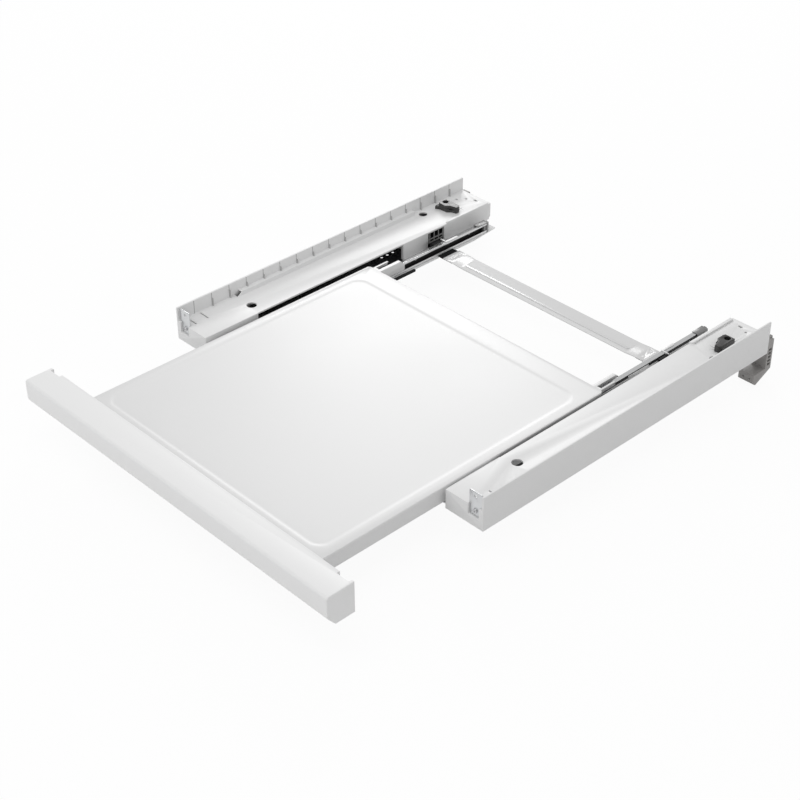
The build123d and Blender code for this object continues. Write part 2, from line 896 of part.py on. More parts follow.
# Cross-bar end: a tongue that passes under the slide, a post beside the slide and a ribbed block that fills
# the rail's window
end_face = rail_inner + end_block_inset
end_y = (behind(window_start) + end_block_gap, behind(window_end) - end_block_gap)
tongue_y = (-cross_width / 2 + tongue_side_gap, cross_width / 2 - tongue_side_gap)
post_x = (upstand_x + base_gap, upstand_x + base_gap + post_width)
with BuildPart() as cross_bar_end:
    block((slide_inner_x - tongue_gap, end_face + end_block_depth), tongue_y, (0, tongue_thickness))
    block((end_face, end_face + end_block_depth), end_y, (0, deck_under))
    block(post_x, (tongue_y[0], tongue_y[0] + post_length), (0, slide_top - post_under_slide_top))
    tall_row = (deck_under - end_pocket_top - end_pocket_tall, deck_under - end_pocket_top)
    low_row = (tall_row[0] - end_pocket_shelf - end_pocket_low, tall_row[0] - end_pocket_shelf)
    foot_row = (tongue_thickness + end_pocket_rib, low_row[0] - end_pocket_shelf)
    for column in range(end_pocket_columns):
        pocket_rear = end_y[1] - end_pocket_rib - column * (end_pocket_width + end_pocket_rib)
        pocket_front = max(pocket_rear - end_pocket_width, end_y[0] + end_pocket_rib / 2)
        for row in (tall_row, low_row, foot_row):
            block(
                (end_face - over, end_face + end_pocket_depth),
                (pocket_front, pocket_rear),
                row,
                mode=Mode.SUBTRACT,
            )
    for spread in rivet_spreads:
        rod(
            (cross_rivet_x, spread, -over),
            (0, 0, 1),
            rivet_radius + fit_gap,
            tongue_thickness + 2 * over,
            mode=Mode.SUBTRACT,
        )
finish_pair(cross_bar_end, "cross_bar_end")

with BuildPart() as cross_bar_rivets:
    for side in (-1, 1):
        for spread in rivet_spreads:
            rod((side * cross_rivet_x, spread, fit_gap), (0, 0, 1), rivet_radius, raised + bar_sheet)
            rod(
                (side * cross_rivet_x, spread, raised + bar_sheet),
                (0, 0, 1),
                rivet_head_radius,
                cross_rivet_head,
            )
finish(cross_bar_rivets, "cross_bar_rivets")

# Fixed slide member: a C channel with curled edges, open towards the middle of the kit
with BuildPart() as slide_outer:
    with BuildSketch(Plane.XZ.offset(-behind(slide_front))) as outer_section:
        with BuildLine():
            Polyline(
                (slide_outer_x, slide_bottom),
                (slide_outer_x, slide_top),
                (slide_inner_x, slide_top),
                (slide_inner_x, slide_top - upper_curl),
                (cavity_inner, slide_top - upper_curl),
                (cavity_inner, cavity_high),
                (cavity_outer, cavity_high),
                (cavity_outer, cavity_low),
                (cavity_inner, cavity_low),
                (cavity_inner, slide_bottom + lower_curl),
                (slide_inner_x, slide_bottom + lower_curl),
                (slide_inner_x, slide_bottom),
                close=True,
            )
        make_face()
        for height in (slide_bottom, slide_top):
            level = outer_section.vertices().filter_by_position(Axis.Y, height - fit_gap, height + fit_gap)
            fillet(level.sort_by(Axis.X)[0], slide_sheet)
    extrude(amount=-(slide_rear - slide_front))
    for setback in slide_rivet_setbacks:
        with Locations(Plane(origin=(cavity_outer, behind(setback), slide_middle), z_dir=(1, 0, 0))):
            Cone(
                rivet_head_radius + fit_gap,
                rivet_radius + fit_gap,
                rivet_head_height,
                align=BOTTOM,
                mode=Mode.SUBTRACT,
            )
            Cylinder(rivet_radius + fit_gap, 2 * slide_sheet, align=BOTTOM, mode=Mode.SUBTRACT)
finish_pair(slide_outer, "slide_outer")

# Rivets, flush inside the slide, that fix it to the base's fold
with BuildPart() as slide_rivets:
    for side in (-1, 1):
        for setback in slide_rivet_setbacks:
            seat = (side * cavity_outer, behind(setback), slide_middle)
            with Locations(Plane(origin=seat, z_dir=(side, 0, 0))):
                Cone(rivet_head_radius, rivet_radius, rivet_head_height, align=BOTTOM)
                Cylinder(rivet_radius, slide_sheet + base_thickness, align=BOTTOM)
            rod(
                (side * upstand_x, behind(setback), slide_middle),
                (side, 0, 0),
                rivet_head_radius,
                rivet_head_height,
            )
finish(slide_rivets, "slide_rivets")

# Slide end cap: a dark plastic lid over the fixed member's rear end, with skirt, end wall, plug and nub
cap_x = (slide_inner_x - cap_wall, slide_outer_x + cap_side)
cap_y = (behind(slide_rear) + fit_gap, behind(slide_rear) + cap_rear_wall)
nub_middle = (slide_inner_x + slide_outer_x) / 2
with BuildPart() as slide_end_cap:
    block(cap_x, (behind(slide_rear - cap_cover), cap_y[1]), (slide_top + fit_gap, slide_top + cap_wall))
    block(
        (slide_outer_x + fit_gap, cap_x[1]),
        (behind(slide_rear - cap_cover), cap_y[1]),
        (slide_top - cap_skirt, slide_top + cap_wall),
    )
    block((slide_inner_x, slide_outer_x), cap_y, (slide_bottom, slide_top + cap_wall))
    block(
        (nub_middle - cap_nub_width / 2, nub_middle + cap_nub_width / 2),
        (cap_y[0], cap_y[1] + cap_nub_length),
        (slide_bottom, slide_top + cap_wall - cap_nub_drop),
    )
    block(
        (cavity_inner + fit_gap, cavity_outer - fit_gap),
        (behind(slide_rear - cap_plug), cap_y[1]),
        (cavity_low + fit_gap, cavity_high - fit_gap),
    )
finish_pair(slide_end_cap, "slide_end_cap")

# Moving slide member: a channel that rides between the two rows of balls
with BuildPart() as slide_inner:
    with BuildSketch(Plane.XZ.offset(-behind(inner_front))):
        with BuildLine():
            Polyline(
                (inner_face, inner_low),
                (inner_back, inner_low),
                (inner_back, inner_low + inner_sheet),
                (inner_face + inner_sheet, inner_low + inner_sheet),
                (inner_face + inner_sheet, inner_high - inner_sheet),
                (inner_back, inner_high - inner_sheet),
                (inner_back, inner_high),
                (inner_face, inner_high),
                close=True,
            )
        make_face()
    extrude(amount=-(inner_rear - inner_front))
    for setback in bracket_rivet_setbacks:
        rod(
            (inner_face - over, behind(setback), bracket_rivet_height),
            (1, 0, 0),
            bracket_rivet_radius / 2 + fit_gap,
            inner_sheet + 2 * over,
            mode=Mode.SUBTRACT,
        )
finish_pair(slide_inner, "slide_inner")

# Ball cage: a thin strip behind the moving member, with holes for both rows of balls
cage_x = (inner_back + cavity_outer) / 2
cage_front = behind(rail_length - cage_from_rear - shelf_out / 2 - cage_length / 2)
with BuildPart() as ball_cage:
    block(
        (cage_x - cage_sheet / 2, cage_x + cage_sheet / 2),
        (cage_front, cage_front + cage_length),
        (ball_low - cage_sheet / 2, ball_high + cage_sheet / 2),
    )
    for row_z in (ball_low, ball_high):
        block(
            (inner_face, cage_x),
            (cage_front, cage_front + cage_length),
            (row_z - cage_sheet / 2, row_z + cage_sheet / 2),
        )
        for ball in range(ball_count):
            ball_y = cage_front + cage_length / 2 + (ball - (ball_count - 1) / 2) * ball_pitch
            with Locations((ball_x, ball_y, row_z)):
                Cylinder(ball_radius + cage_hole_gap, 2 * cage_sheet, mode=Mode.SUBTRACT)
finish_pair(ball_cage, "ball_cage")

with BuildPart() as bearing_balls:
    for row_z in (ball_low, ball_high):
        for ball in range(ball_count):
            ball_y = cage_front + cage_length / 2 + (ball - (ball_count - 1) / 2) * ball_pitch
            with Locations((ball_x, ball_y, row_z)):
                Sphere(ball_radius)
finish_pair(bearing_balls, "bearing_balls")

# Shelf panel: folded sheet steel with a shallow tray pressed into its top
panel_front = behind(bar_back)
panel_length = panel_rear - bar_back
rear_flange_half = panel_half - rear_flange_margin
tray_y = (panel_front + tray_front_margin, behind(panel_rear) - tray_rear_margin)
tray_middle = (tray_y[0] + tray_y[1]) / 2
tray_length = tray_y[1] - tray_y[0]
tray_width = panel_width - 2 * tray_side_margin


def tray_sketch(height, inset):
    """The tray's rounded outline at a height, drawn in from its rim by an inset."""
    with BuildSketch(Plane.XY.offset(height)) as outline:
        with Locations((0, tray_middle)):
            RectangleRounded(tray_width - 2 * inset, tray_length - 2 * inset, tray_corner - inset)
    return outline.sketch


with BuildPart() as shelf_panel:
    with BuildSketch(Plane.XZ.offset(-panel_front)) as panel_section:
        with Locations((0, (panel_bottom + panel_top) / 2)):
            Rectangle(panel_width, panel_top - panel_bottom)
        fillet(panel_section.vertices().group_by(Axis.Y)[-1], panel_bend)
        with Locations((0, (panel_bottom - over + panel_top - panel_sheet) / 2)):
            Rectangle(
                panel_width - 2 * panel_sheet,
                panel_top - panel_sheet - panel_bottom + over,
                mode=Mode.SUBTRACT,
            )
    extrude(amount=-panel_length)
    block(
        (-panel_half, panel_half),
        (panel_front, panel_front + panel_sheet),
        (front_flange_bottom, panel_top - panel_bend),
    )
    block(
        (-rear_flange_half, rear_flange_half),
        (behind(panel_rear) - panel_sheet, behind(panel_rear)),
        (rear_flange_bottom, panel_top - panel_sheet / 2),
    )
    # The tray's floor hangs one sheet thickness below its hollow
    loft(
        sections=[tray_sketch(panel_top - panel_sheet, 0), tray_sketch(tray_under, tray_ramp)],
        ruled=True,
    )
    loft(
        sections=[tray_sketch(panel_top, 0), tray_sketch(panel_top - tray_depth, tray_ramp)],
        ruled=True,
        mode=Mode.SUBTRACT,
    )
    with BuildSketch(Plane.XY.offset(panel_bottom - over)):
        for side in (-1, 1):
            with Locations((side * (panel_half - panel_corner / 2), behind(panel_rear) - panel_corner / 2)):
                Rectangle(panel_corner, panel_corner)
            with Locations((side * (panel_half - panel_corner), behind(panel_rear) - panel_corner)):
                Circle(panel_corner, mode=Mode.SUBTRACT)
    extrude(amount=panel_top - panel_bottom + 2 * over, mode=Mode.SUBTRACT)
    for place in bar_screw_places:
        rod(
            (place, panel_front - over, bar_screw_height),
            (0, 1, 0),
            screw_radius + fit_gap,
            panel_sheet + 2 * over,
            mode=Mode.SUBTRACT,
        )
finish(shelf_panel, "shelf_panel")

# Shelf bracket: an upside-down channel under the shelf's edge that straddles the fixed slide
bracket_under = tray_under - bracket_sheet
bracket_outer_bottom = slide_top + bracket_outer_over_slide
keeper_screw_y = behind(keeper_front + keeper_foot_length / 2)
with BuildPart() as shelf_bracket:
    with BuildSketch(Plane.XZ.offset(-behind(inner_front))):
        with BuildLine():
            Polyline(
                (bracket_x, bracket_leg_bottom),
                (bracket_x + bracket_sheet, bracket_leg_bottom),
                (bracket_x + bracket_sheet, bracket_under),
                (bracket_end_x - bracket_sheet, bracket_under),
                (bracket_end_x - bracket_sheet, bracket_outer_bottom),
                (bracket_end_x, bracket_outer_bottom),
                (bracket_end_x, tray_under),
                (bracket_x, tray_under),
                close=True,
            )
        make_face()
    extrude(amount=-(bracket_rear - inner_front))
    block(
        (bracket_x + bracket_web_strip, bracket_end_x + over),
        (behind(panel_rear + bracket_outer_behind_panel), behind(bracket_rear) + over),
        (bracket_leg_bottom - over, tray_under + over),
        mode=Mode.SUBTRACT,
    )
    block(
        (bracket_x + bracket_web_strip, bracket_end_x - bracket_outer_strip),
        (behind(panel_rear + bracket_notch_behind_panel), behind(bracket_rear) + over),
        (bracket_under - over, tray_under + over),
        mode=Mode.SUBTRACT,
    )
    with BuildSketch(Plane.YZ.offset(bracket_x - over)):
        with BuildLine():
            Polyline(
                (behind(bracket_rear) - bracket_corner, tray_under + over),
                (behind(bracket_rear) - bracket_corner, tray_under),
                (behind(bracket_rear), tray_under - bracket_corner),
                (behind(bracket_rear) + over, tray_under - bracket_corner),
                (behind(bracket_rear) + over, tray_under + over),
                close=True,
            )
        make_face()
    extrude(amount=bracket_end_x - bracket_x + over, mode=Mode.SUBTRACT)
    for setback in bracket_rivet_setbacks:
        rod(
            (bracket_x - over, behind(setback), bracket_rivet_height),
            (1, 0, 0),
            bracket_rivet_radius / 2 + fit_gap,
            bracket_sheet + 2 * over,
            mode=Mode.SUBTRACT,
        )
    rod(
        (bracket_x - over, keeper_screw_y, keeper_screw_height),
        (1, 0, 0),
        screw_radius + fit_gap,
        bracket_sheet + 2 * over,
        mode=Mode.SUBTRACT,
    )
finish_pair(shelf_bracket, "shelf_bracket")

# Shouldered rivets that join each bracket to its moving slide member through the channel's open side
with BuildPart() as bracket_rivets:
    for side in (-1, 1):
        for setback in bracket_rivet_setbacks:
            rivet_y = behind(setback)
            shoulder = bracket_x + bracket_sheet
            rod(
                (side * (bracket_x - rivet_head_height), rivet_y, bracket_rivet_height),
                (side, 0, 0),
                bracket_rivet_radius,
                rivet_head_height,
            )
            rod(
                (side * (bracket_x - rivet_head_height / 2), rivet_y, bracket_rivet_height),
                (side, 0, 0),
                bracket_rivet_radius / 2,
                inner_face + inner_sheet - bracket_x + rivet_head_height,
            )
            rod(
                (side * shoulder, rivet_y, bracket_rivet_height),
                (side, 0, 0),
                bracket_rivet_radius,
                inner_face - shoulder,
            )
finish(bracket_rivets, "bracket_rivets")

# Keeper arm: a black plastic finger screwed to the bracket, reaching back just above the seat plane
with BuildPart() as keeper_arm:
    block(
        (keeper_x - keeper_width, keeper_x),
        (behind(keeper_front), behind(keeper_rear)),
        (keeper_bottom, keeper_bottom + keeper_height),
    )
    block(
        (keeper_x - keeper_width, bracket_x),
        (behind(keeper_front), behind(keeper_front + keeper_foot_length)),
        (keeper_bottom, tray_under),
    )
    tip_edges = keeper_arm.edges().filter_by(Axis.Z).group_by(Axis.Y)[-1]
    fillet(tip_edges, keeper_width / 3)
    rod(
        (keeper_x - keeper_width - over, keeper_screw_y, keeper_screw_height),
        (1, 0, 0),
        screw_radius + fit_gap,
        keeper_width + keeper_gap + 2 * over,
        mode=Mode.SUBTRACT,
    )
finish_pair(keeper_arm, "keeper_arm")

with BuildPart() as keeper_screws:
    for side in (-1, 1):
        pan_screw(
            (side * (keeper_x - keeper_width), keeper_screw_y, keeper_screw_height),
            (-side, 0, 0),
            bracket_x + bracket_sheet - keeper_x + keeper_width,
        )
finish(keeper_screws, "keeper_screws")

# Front bar: a hollow moulded handle bar, open below, with a notch for each front tab
bar_y = (behind(bar_front), behind(bar_back))


def bar_outline(inset, bottom):
    """The bar's section, drawn in by an inset and reaching down to a given height."""
    front_y = bar_y[0] + inset
    back_y = bar_y[1] - inset
    with BuildSketch(Plane.YZ.offset(-half_width + inset)) as outline:
        with BuildLine():
            Polyline(
                (back_y, bottom),
                (back_y, bar_top - inset),
                (front_y, bar_top - inset),
                (front_y, bar_slant_height),
                (front_y + bar_slant_depth * (1 - bottom / bar_slant_height), bottom),
                close=True,
            )
        make_face()
        shoulder = outline.vertices().filter_by_position(
            Axis.Y, bar_slant_height - fit_gap, bar_slant_height + fit_gap
        )
        fillet(shoulder, bar_slant_round)
        corners = outline.vertices().group_by(Axis.Y)[-1].sort_by(Axis.X)
        fillet(corners[0], bar_top_round - inset)
        fillet(outline.vertices().group_by(Axis.Y)[-1].sort_by(Axis.X)[-1], bar_back_round / (1 + inset))
    return outline.sketch


with BuildPart() as front_bar:
    extrude(bar_outline(0, 0), amount=kit_width)
    ends = front_bar.faces().sort_by(Axis.X)
    fillet(ends[0].edges() + ends[-1].edges(), bar_end_round)
    extrude(bar_outline(bar_wall, -over), amount=kit_width - 2 * bar_wall, mode=Mode.SUBTRACT)
    for side in (-1, 1):
        outer_edge = half_width - notch_in
        inner_edge = outer_edge - notch_width
        lined = sorted((side * (inner_edge - bar_wall), side * (half_width - bar_wall / 2)))
        cut = sorted((side * inner_edge, side * outer_edge))
        block(
            tuple(lined),
            (bar_y[1] - notch_depth - bar_wall, bar_y[1] - bar_wall / 2),
            (notch_bottom - bar_wall, bar_top - bar_wall / 2),
        )
        block(
            tuple(cut),
            (bar_y[1] - notch_depth, bar_y[1] + over),
            (notch_bottom, bar_top + over),
            mode=Mode.SUBTRACT,
        )
    # Stiffening ribs and screw bosses inside
    for place in bar_rib_places:
        block(
            (place - bar_rib_thickness / 2, place + bar_rib_thickness / 2),
            (bar_y[0] + bar_wall / 2, bar_y[1] - bar_wall / 2),
            (bar_slant_height, bar_top - bar_wall / 2),
        )
    for place in bar_screw_places:
        rod(
            (place, bar_y[1] - bar_wall / 2, bar_screw_height),
            (0, -1, 0),
            bar_boss_radius,
            bar_boss_length,
        )
        rod(
            (place, bar_y[1] + over, bar_screw_height),
            (0, -1, 0),
            screw_radius + fit_gap,
            bar_boss_length + over,
            mode=Mode.SUBTRACT,
        )
finish(front_bar, "front_bar")

with BuildPart() as front_bar_screws:
    for place in bar_screw_places:
        pan_screw((place, panel_front + panel_sheet, bar_screw_height), (0, 1, 0), bar_screw_length)
finish(front_bar_screws, "front_bar_screws")

# Foot clamps: two like dark plastic levers on the decks. The left one points inwards, the right one forwards
clamp_z = deck_top + clamp_lift
clamp_y = y_back - clamp_from_rear


def arm_plan():
    """The lever's upper outline: a square head round the pivot that narrows to the arm."""
    with BuildSketch() as plan:
        with BuildLine():
            Polyline(
                (-clamp_heel, -clamp_front + clamp_chamfer / 2),
                (-clamp_heel + clamp_chamfer, -clamp_front),
                (clamp_shoulder, -clamp_front),
                (clamp_shoulder + clamp_neck, -clamp_arm_front),
                (clamp_arm, -clamp_tip_front),
                (clamp_arm, clamp_tip_back),
                (clamp_arm - clamp_chamfer, clamp_back),
                (-clamp_heel, clamp_back),
                close=True,
            )
        make_face()
        fillet(plan.vertices(), clamp_corner_round)
    return plan.sketch


def foot_plan():
    """The lever's lower outline, with a wing at its heel and a nub at its shoulder."""
    with BuildSketch() as plan:
        with BuildLine():
            Polyline(
                (-wing_reach, -wing_front),
                (-wing_root, -clamp_front - clamp_corner_round),
                (clamp_shoulder, -clamp_front),
                (clamp_shoulder + clamp_nub, -clamp_front),
                (clamp_shoulder + clamp_neck + clamp_nub, -clamp_arm_front),
                (clamp_arm, -clamp_tip_front),
                (clamp_arm, clamp_tip_back),
                (clamp_arm - clamp_chamfer, clamp_back),
                (-clamp_heel, clamp_back),
                (-wing_reach - clamp_corner_round, -clamp_front),
                close=True,
            )
        make_face()
        fillet(plan.vertices(), clamp_corner_round / 2)
    return plan.sketch


for side, arm_angle, name in ((-1, 0.0, "left_foot_clamp"), (1, -90.0, "right_foot_clamp")):
    pivot = (side * (half_width - clamp_in), clamp_y, clamp_z)
    with BuildPart() as foot_clamp:
        extrude(arm_plan(), amount=clamp_height)
        fillet(foot_clamp.faces().sort_by(Axis.Z)[-1].edges(), clamp_edge_round)
        extrude(foot_plan(), amount=clamp_low_height)
        rod((0, 0, -over), (0, 0, 1), clamp_bore_radius, clamp_height + 2 * over, mode=Mode.SUBTRACT)
        rod(
            (0, 0, clamp_height + over),
            (0, 0, -1),
            clamp_sink_radius,
            clamp_sink_depth + over,
            mode=Mode.SUBTRACT,
        )
    with BuildPart() as placed_clamp:
        add(foot_clamp.part.moved(Location(pivot, (0, 0, arm_angle))))
    finish(placed_clamp, name)

# Shouldered pivot screws that carry the clamps
with BuildPart() as clamp_pivots:
    for side in (-1, 1):
        pan_screw(
            (side * (half_width - clamp_in), clamp_y, clamp_z + clamp_height - clamp_sink_depth + fit_gap),
            (0, 0, 1),
            pivot_length,
            radius=pivot_radius,
            head=pivot_head_radius,
            height=pivot_head_height,
        )
finish(clamp_pivots, "clamp_pivots")
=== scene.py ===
"""Stacking kit with a pull-out shelf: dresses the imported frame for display."""
import json
import logging
import math
from dataclasses import dataclass, replace
from enum import Enum
from typing import Callable, Iterable, Sequence

import bmesh
import bpy
from mathutils import Matrix, Vector


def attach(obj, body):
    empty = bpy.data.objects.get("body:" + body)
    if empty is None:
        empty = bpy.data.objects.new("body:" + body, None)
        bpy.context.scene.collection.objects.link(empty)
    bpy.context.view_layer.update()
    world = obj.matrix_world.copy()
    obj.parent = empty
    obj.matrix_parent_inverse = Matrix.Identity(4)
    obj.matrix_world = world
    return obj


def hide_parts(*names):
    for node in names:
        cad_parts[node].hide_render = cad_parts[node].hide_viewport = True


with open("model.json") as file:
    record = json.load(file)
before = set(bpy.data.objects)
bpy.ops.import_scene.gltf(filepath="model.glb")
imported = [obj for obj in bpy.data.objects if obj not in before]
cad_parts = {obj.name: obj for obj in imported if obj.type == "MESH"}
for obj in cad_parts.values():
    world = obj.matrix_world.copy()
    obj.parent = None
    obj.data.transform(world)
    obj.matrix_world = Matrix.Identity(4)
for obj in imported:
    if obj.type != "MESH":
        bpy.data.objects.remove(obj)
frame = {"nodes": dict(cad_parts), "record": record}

LOG = logging.getLogger("stacking_kit")
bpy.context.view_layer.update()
SIDES = ("left", "right")
MM = 0.001
RANDOM_SEED = 7
MERGE_DISTANCE = 0.002 * MM
FLAT_ANGLE = 0.6
PLACE_DIGITS = 4
HEIGHT_DIGITS = 5
ROUND = 0.5
WHITE = (1.0, 1.0, 1.0, 1.0)

Colour = tuple[float, float, float]
Span = tuple[float, float]
Outline = list[tuple[float, float]]


class Axis(Enum):
    """Directions in which a fastener's head points."""

    LEFT = (-1.0, 0.0, 0.0)
    RIGHT = (1.0, 0.0, 0.0)
    FRONT = (0.0, -1.0, 0.0)
    REAR = (0.0, 1.0, 0.0)
    UP = (0.0, 0.0, 1.0)
    DOWN = (0.0, 0.0, -1.0)

    @property
    def vector(self) -> Vector:
        """The direction as a vector."""
        return Vector(self.value)


class Head(Enum):
    """A head's edge, from the rim of its top down, in shares of its radius and of its height."""

    PAN = ((0.62, 0.0), (0.86, 0.10), (0.97, 0.34), (1.0, 0.62), (1.0, 1.0))
    FLAT = ((0.93, 0.0), (1.0, 0.05))
    DOME = ((0.30, 0.0), (0.62, 0.14), (0.86, 0.42), (1.0, 0.86), (1.0, 1.0))

    def outline(self, radius: float, height: float) -> Outline:
        """The edge in metres."""
        return [(radius * across, height * down) for across, down in self.value]


# Shader maths


class Socket:
    """A shader socket that can be used in an expression."""

    def __init__(self, tree: bpy.types.NodeTree, source: bpy.types.NodeSocket) -> None:
        """Wraps one output socket of a node tree."""
        self.tree = tree
        self.source = source

    def _maths(self, operation: str, *terms: "Socket | float") -> "Socket":
        """Adds one Math node.

        Args:
            operation: The Math node's operation.
            terms: Its values or links in order.

        Returns:
            The node's result.
        """
        node = self.tree.nodes.new("ShaderNodeMath")
        node.operation = operation
        for place, term in enumerate(terms):
            if isinstance(term, Socket):
                self.tree.links.new(term.source, node.inputs[place])
            else:
                node.inputs[place].default_value = term
        return Socket(self.tree, node.outputs[0])

    def __add__(self, other: "Socket | float") -> "Socket":
        """Sum."""
        return self._maths("ADD", self, other)

    __radd__ = __add__

    def __sub__(self, other: "Socket | float") -> "Socket":
        """Difference."""
        return self._maths("SUBTRACT", self, other)

    def __rsub__(self, other: "Socket | float") -> "Socket":
        """Reflected difference."""
        return self._maths("SUBTRACT", other, self)

    def __mul__(self, other: "Socket | float") -> "Socket":
        """Product."""
        return self._maths("MULTIPLY", self, other)

    __rmul__ = __mul__

    def __truediv__(self, other: "Socket | float") -> "Socket":
        """Quotient."""
        return self._maths("DIVIDE", self, other)

    def __gt__(self, other: "Socket | float") -> "Socket":
        """One where this is greater."""
        return self._maths("GREATER_THAN", self, other)

    def __lt__(self, other: "Socket | float") -> "Socket":
        """One where this is less."""
        return self._maths("LESS_THAN", self, other)

    def __abs__(self) -> "Socket":
        """Size without its sign."""
        return self._maths("ABSOLUTE", self)

    def fraction(self) -> "Socket":
        """What is left after whole steps."""
        return self._maths("FRACT", self)

    def between(self, low: float, high: float) -> "Socket":
        """One between two values."""
        return (self > low) * (self < high)

    def swing(self, reach: float) -> "Socket":
        """A noise from zero to one as a swing of that reach about zero."""
        return (self - 0.5) * reach


class Nodes:
    """Adds nodes to a node tree."""

    def __init__(self, tree: bpy.types.NodeTree) -> None:
        """Holds the tree."""
        self.tree = tree

    def feed(self, target: bpy.types.NodeSocket, value: object) -> None:
        """Gives an input socket its value or its link.

        Args:
            target: The input socket.
            value: A value, or the output to link.
        """
        source = value.source if isinstance(value, Socket) else value
        if isinstance(source, bpy.types.NodeSocket):
            self.tree.links.new(source, target)
        else:
            target.default_value = source

    def node(self, kind: str, settings: dict | None = None, **values: object) -> bpy.types.Node:
        """Adds a node.

        Args:
            kind: The node's type.
            settings: Attributes of the node, set first.
            values: Values or links of its input sockets, with spaces written as underscores.

        Returns:
            The new node.
        """
        node = self.tree.nodes.new(kind)
        for key, value in (settings or {}).items():
            setattr(node, key, value)
        for key, value in values.items():
            self.feed(node.inputs[key.replace("_", " ")], value)
        return node

    def out(self, node: bpy.types.Node, name: str | int = 0) -> Socket:
        """One output of a node as a socket for expressions."""
        return Socket(self.tree, node.outputs[name])


@dataclass(frozen=True)
class Noise:
    """A layer of smooth noise from zero to one.

    Attributes:
        scale: Waves in a metre.
        detail: Finer layers within it.
        weight: Weight of each finer layer.
        stretch: Stretch of the coordinates along each axis, below one where the noise is drawn out.
    """

    scale: float
    detail: float
    weight: float
    stretch: tuple[float, float, float] = (1.0, 1.0, 1.0)


Mixture = tuple[tuple[Noise, float], ...]

DRIFT = Noise(14.0, 3.0, 0.55)
FLOW = Noise(60.0, 3.0, 0.6, (1.0, 0.12, 1.0))
GRAIN = Noise(1900.0, 2.0, 0.6)
PORES = Noise(620.0, 1.0, 0.5)
PAINT = Noise(7.0, 2.0, 0.5)
PEEL = Noise(420.0, 2.0, 0.45)
DUST = Noise(2400.0, 1.0, 0.5)
STREAKS = Noise(900.0, 3.0, 0.6, (1.0, 0.02, 1.0))
BLOOM = Noise(90.0, 4.0, 0.6)
SMEAR = Noise(180.0, 3.0, 0.6, (1.0, 0.2, 1.0))
FINE_GRAIN = Noise(1500.0, 2.0, 0.6)
WEAR = Noise(80.0, 3.0, 0.6)


class Recipe(Nodes):
    """A material under construction.

    Attributes:
        MIX_INPUTS: The Mix node's factor, first colour and second colour.
        MIX_RESULT: Its mixed colour.
    """

    MIX_INPUTS = (0, 6, 7)
    MIX_RESULT = 2

    def __init__(self, name: str) -> None:
        """Starts an empty node material.

        Args:
            name: The material's name.
        """
        self.material = bpy.data.materials.new(name)
        self.material.use_nodes = True
        super().__init__(self.material.node_tree)
        self.tree.nodes.clear()
        self.surface_in = self.node("ShaderNodeOutputMaterial").inputs["Surface"]
        self.layers: dict[Noise, Socket] = {}

    def place(self, stretch: Sequence[float] = (1.0, 1.0, 1.0)) -> Socket:
        """Object coordinates, stretched along each axis."""
        coordinates = self.out(self.node("ShaderNodeTexCoord"), "Object")
        return self.out(self.node("ShaderNodeMapping", Vector=coordinates, Scale=tuple(stretch)))

    def axes(self) -> tuple[Socket, Socket, Socket]:
        """Object coordinates one by one."""
        parts = self.node("ShaderNodeSeparateXYZ", Vector=self.place())
        return self.out(parts, "X"), self.out(parts, "Y"), self.out(parts, "Z")

    def noise(self, layer: Noise) -> Socket:
        """The value of a noise, which is added once.

        Args:
            layer: The noise.

        Returns:
            Its value, from zero to one.
        """
        if layer not in self.layers:
            node = self.node(
                "ShaderNodeTexNoise",
                Vector=self.place(layer.stretch),
                Scale=layer.scale,
                Detail=layer.detail,
                Roughness=layer.weight,
            )
            self.layers[layer] = self.out(node, "Fac")
        return self.layers[layer]

    def mix(self, factor: Socket, *colours: Socket | Colour) -> Socket:
        """Mixes two colours.

        Args:
            factor: How much of the second colour there is.
            colours: Both colours.

        Returns:
            The mixed colour.
        """
        node = self.node("ShaderNodeMix", {"data_type": "RGBA"})
        for place, value in zip(self.MIX_INPUTS, (factor, *colours)):
            self.feed(node.inputs[place], value if isinstance(value, Socket) else (*value, 1.0))
        return self.out(node, self.MIX_RESULT)

    def tones(self, factor: Socket, colour: Colour, shares: Span) -> Socket:
        """A colour that varies in brightness.

        Args:
            factor: Where it lies between its darkest and its lightest tone.
            colour: The middle tone.
            shares: Darkest and lightest tone as shares of it.

        Returns:
            The colour.
        """
        ends = (tuple(min(1.0, part * share) for part in colour) for share in shares)
        return self.mix(factor, *ends)

    def surface(self, **values: object) -> bpy.types.Material:
        """Ends the material in one Principled shader, with values or links of its sockets."""
        self.feed(self.surface_in, self.node("ShaderNodeBsdfPrincipled", **values).outputs[0])
        return self.material


@dataclass
class Looks:
    """What varies over a surface.

    Attributes:
        colour: Base colour.
        metal: How metallic it is.
        rough: Roughness.
        height: Height of its relief, as a share of the relief's depth.
    """

    colour: Socket
    metal: Socket | float
    rough: Socket
    height: Socket


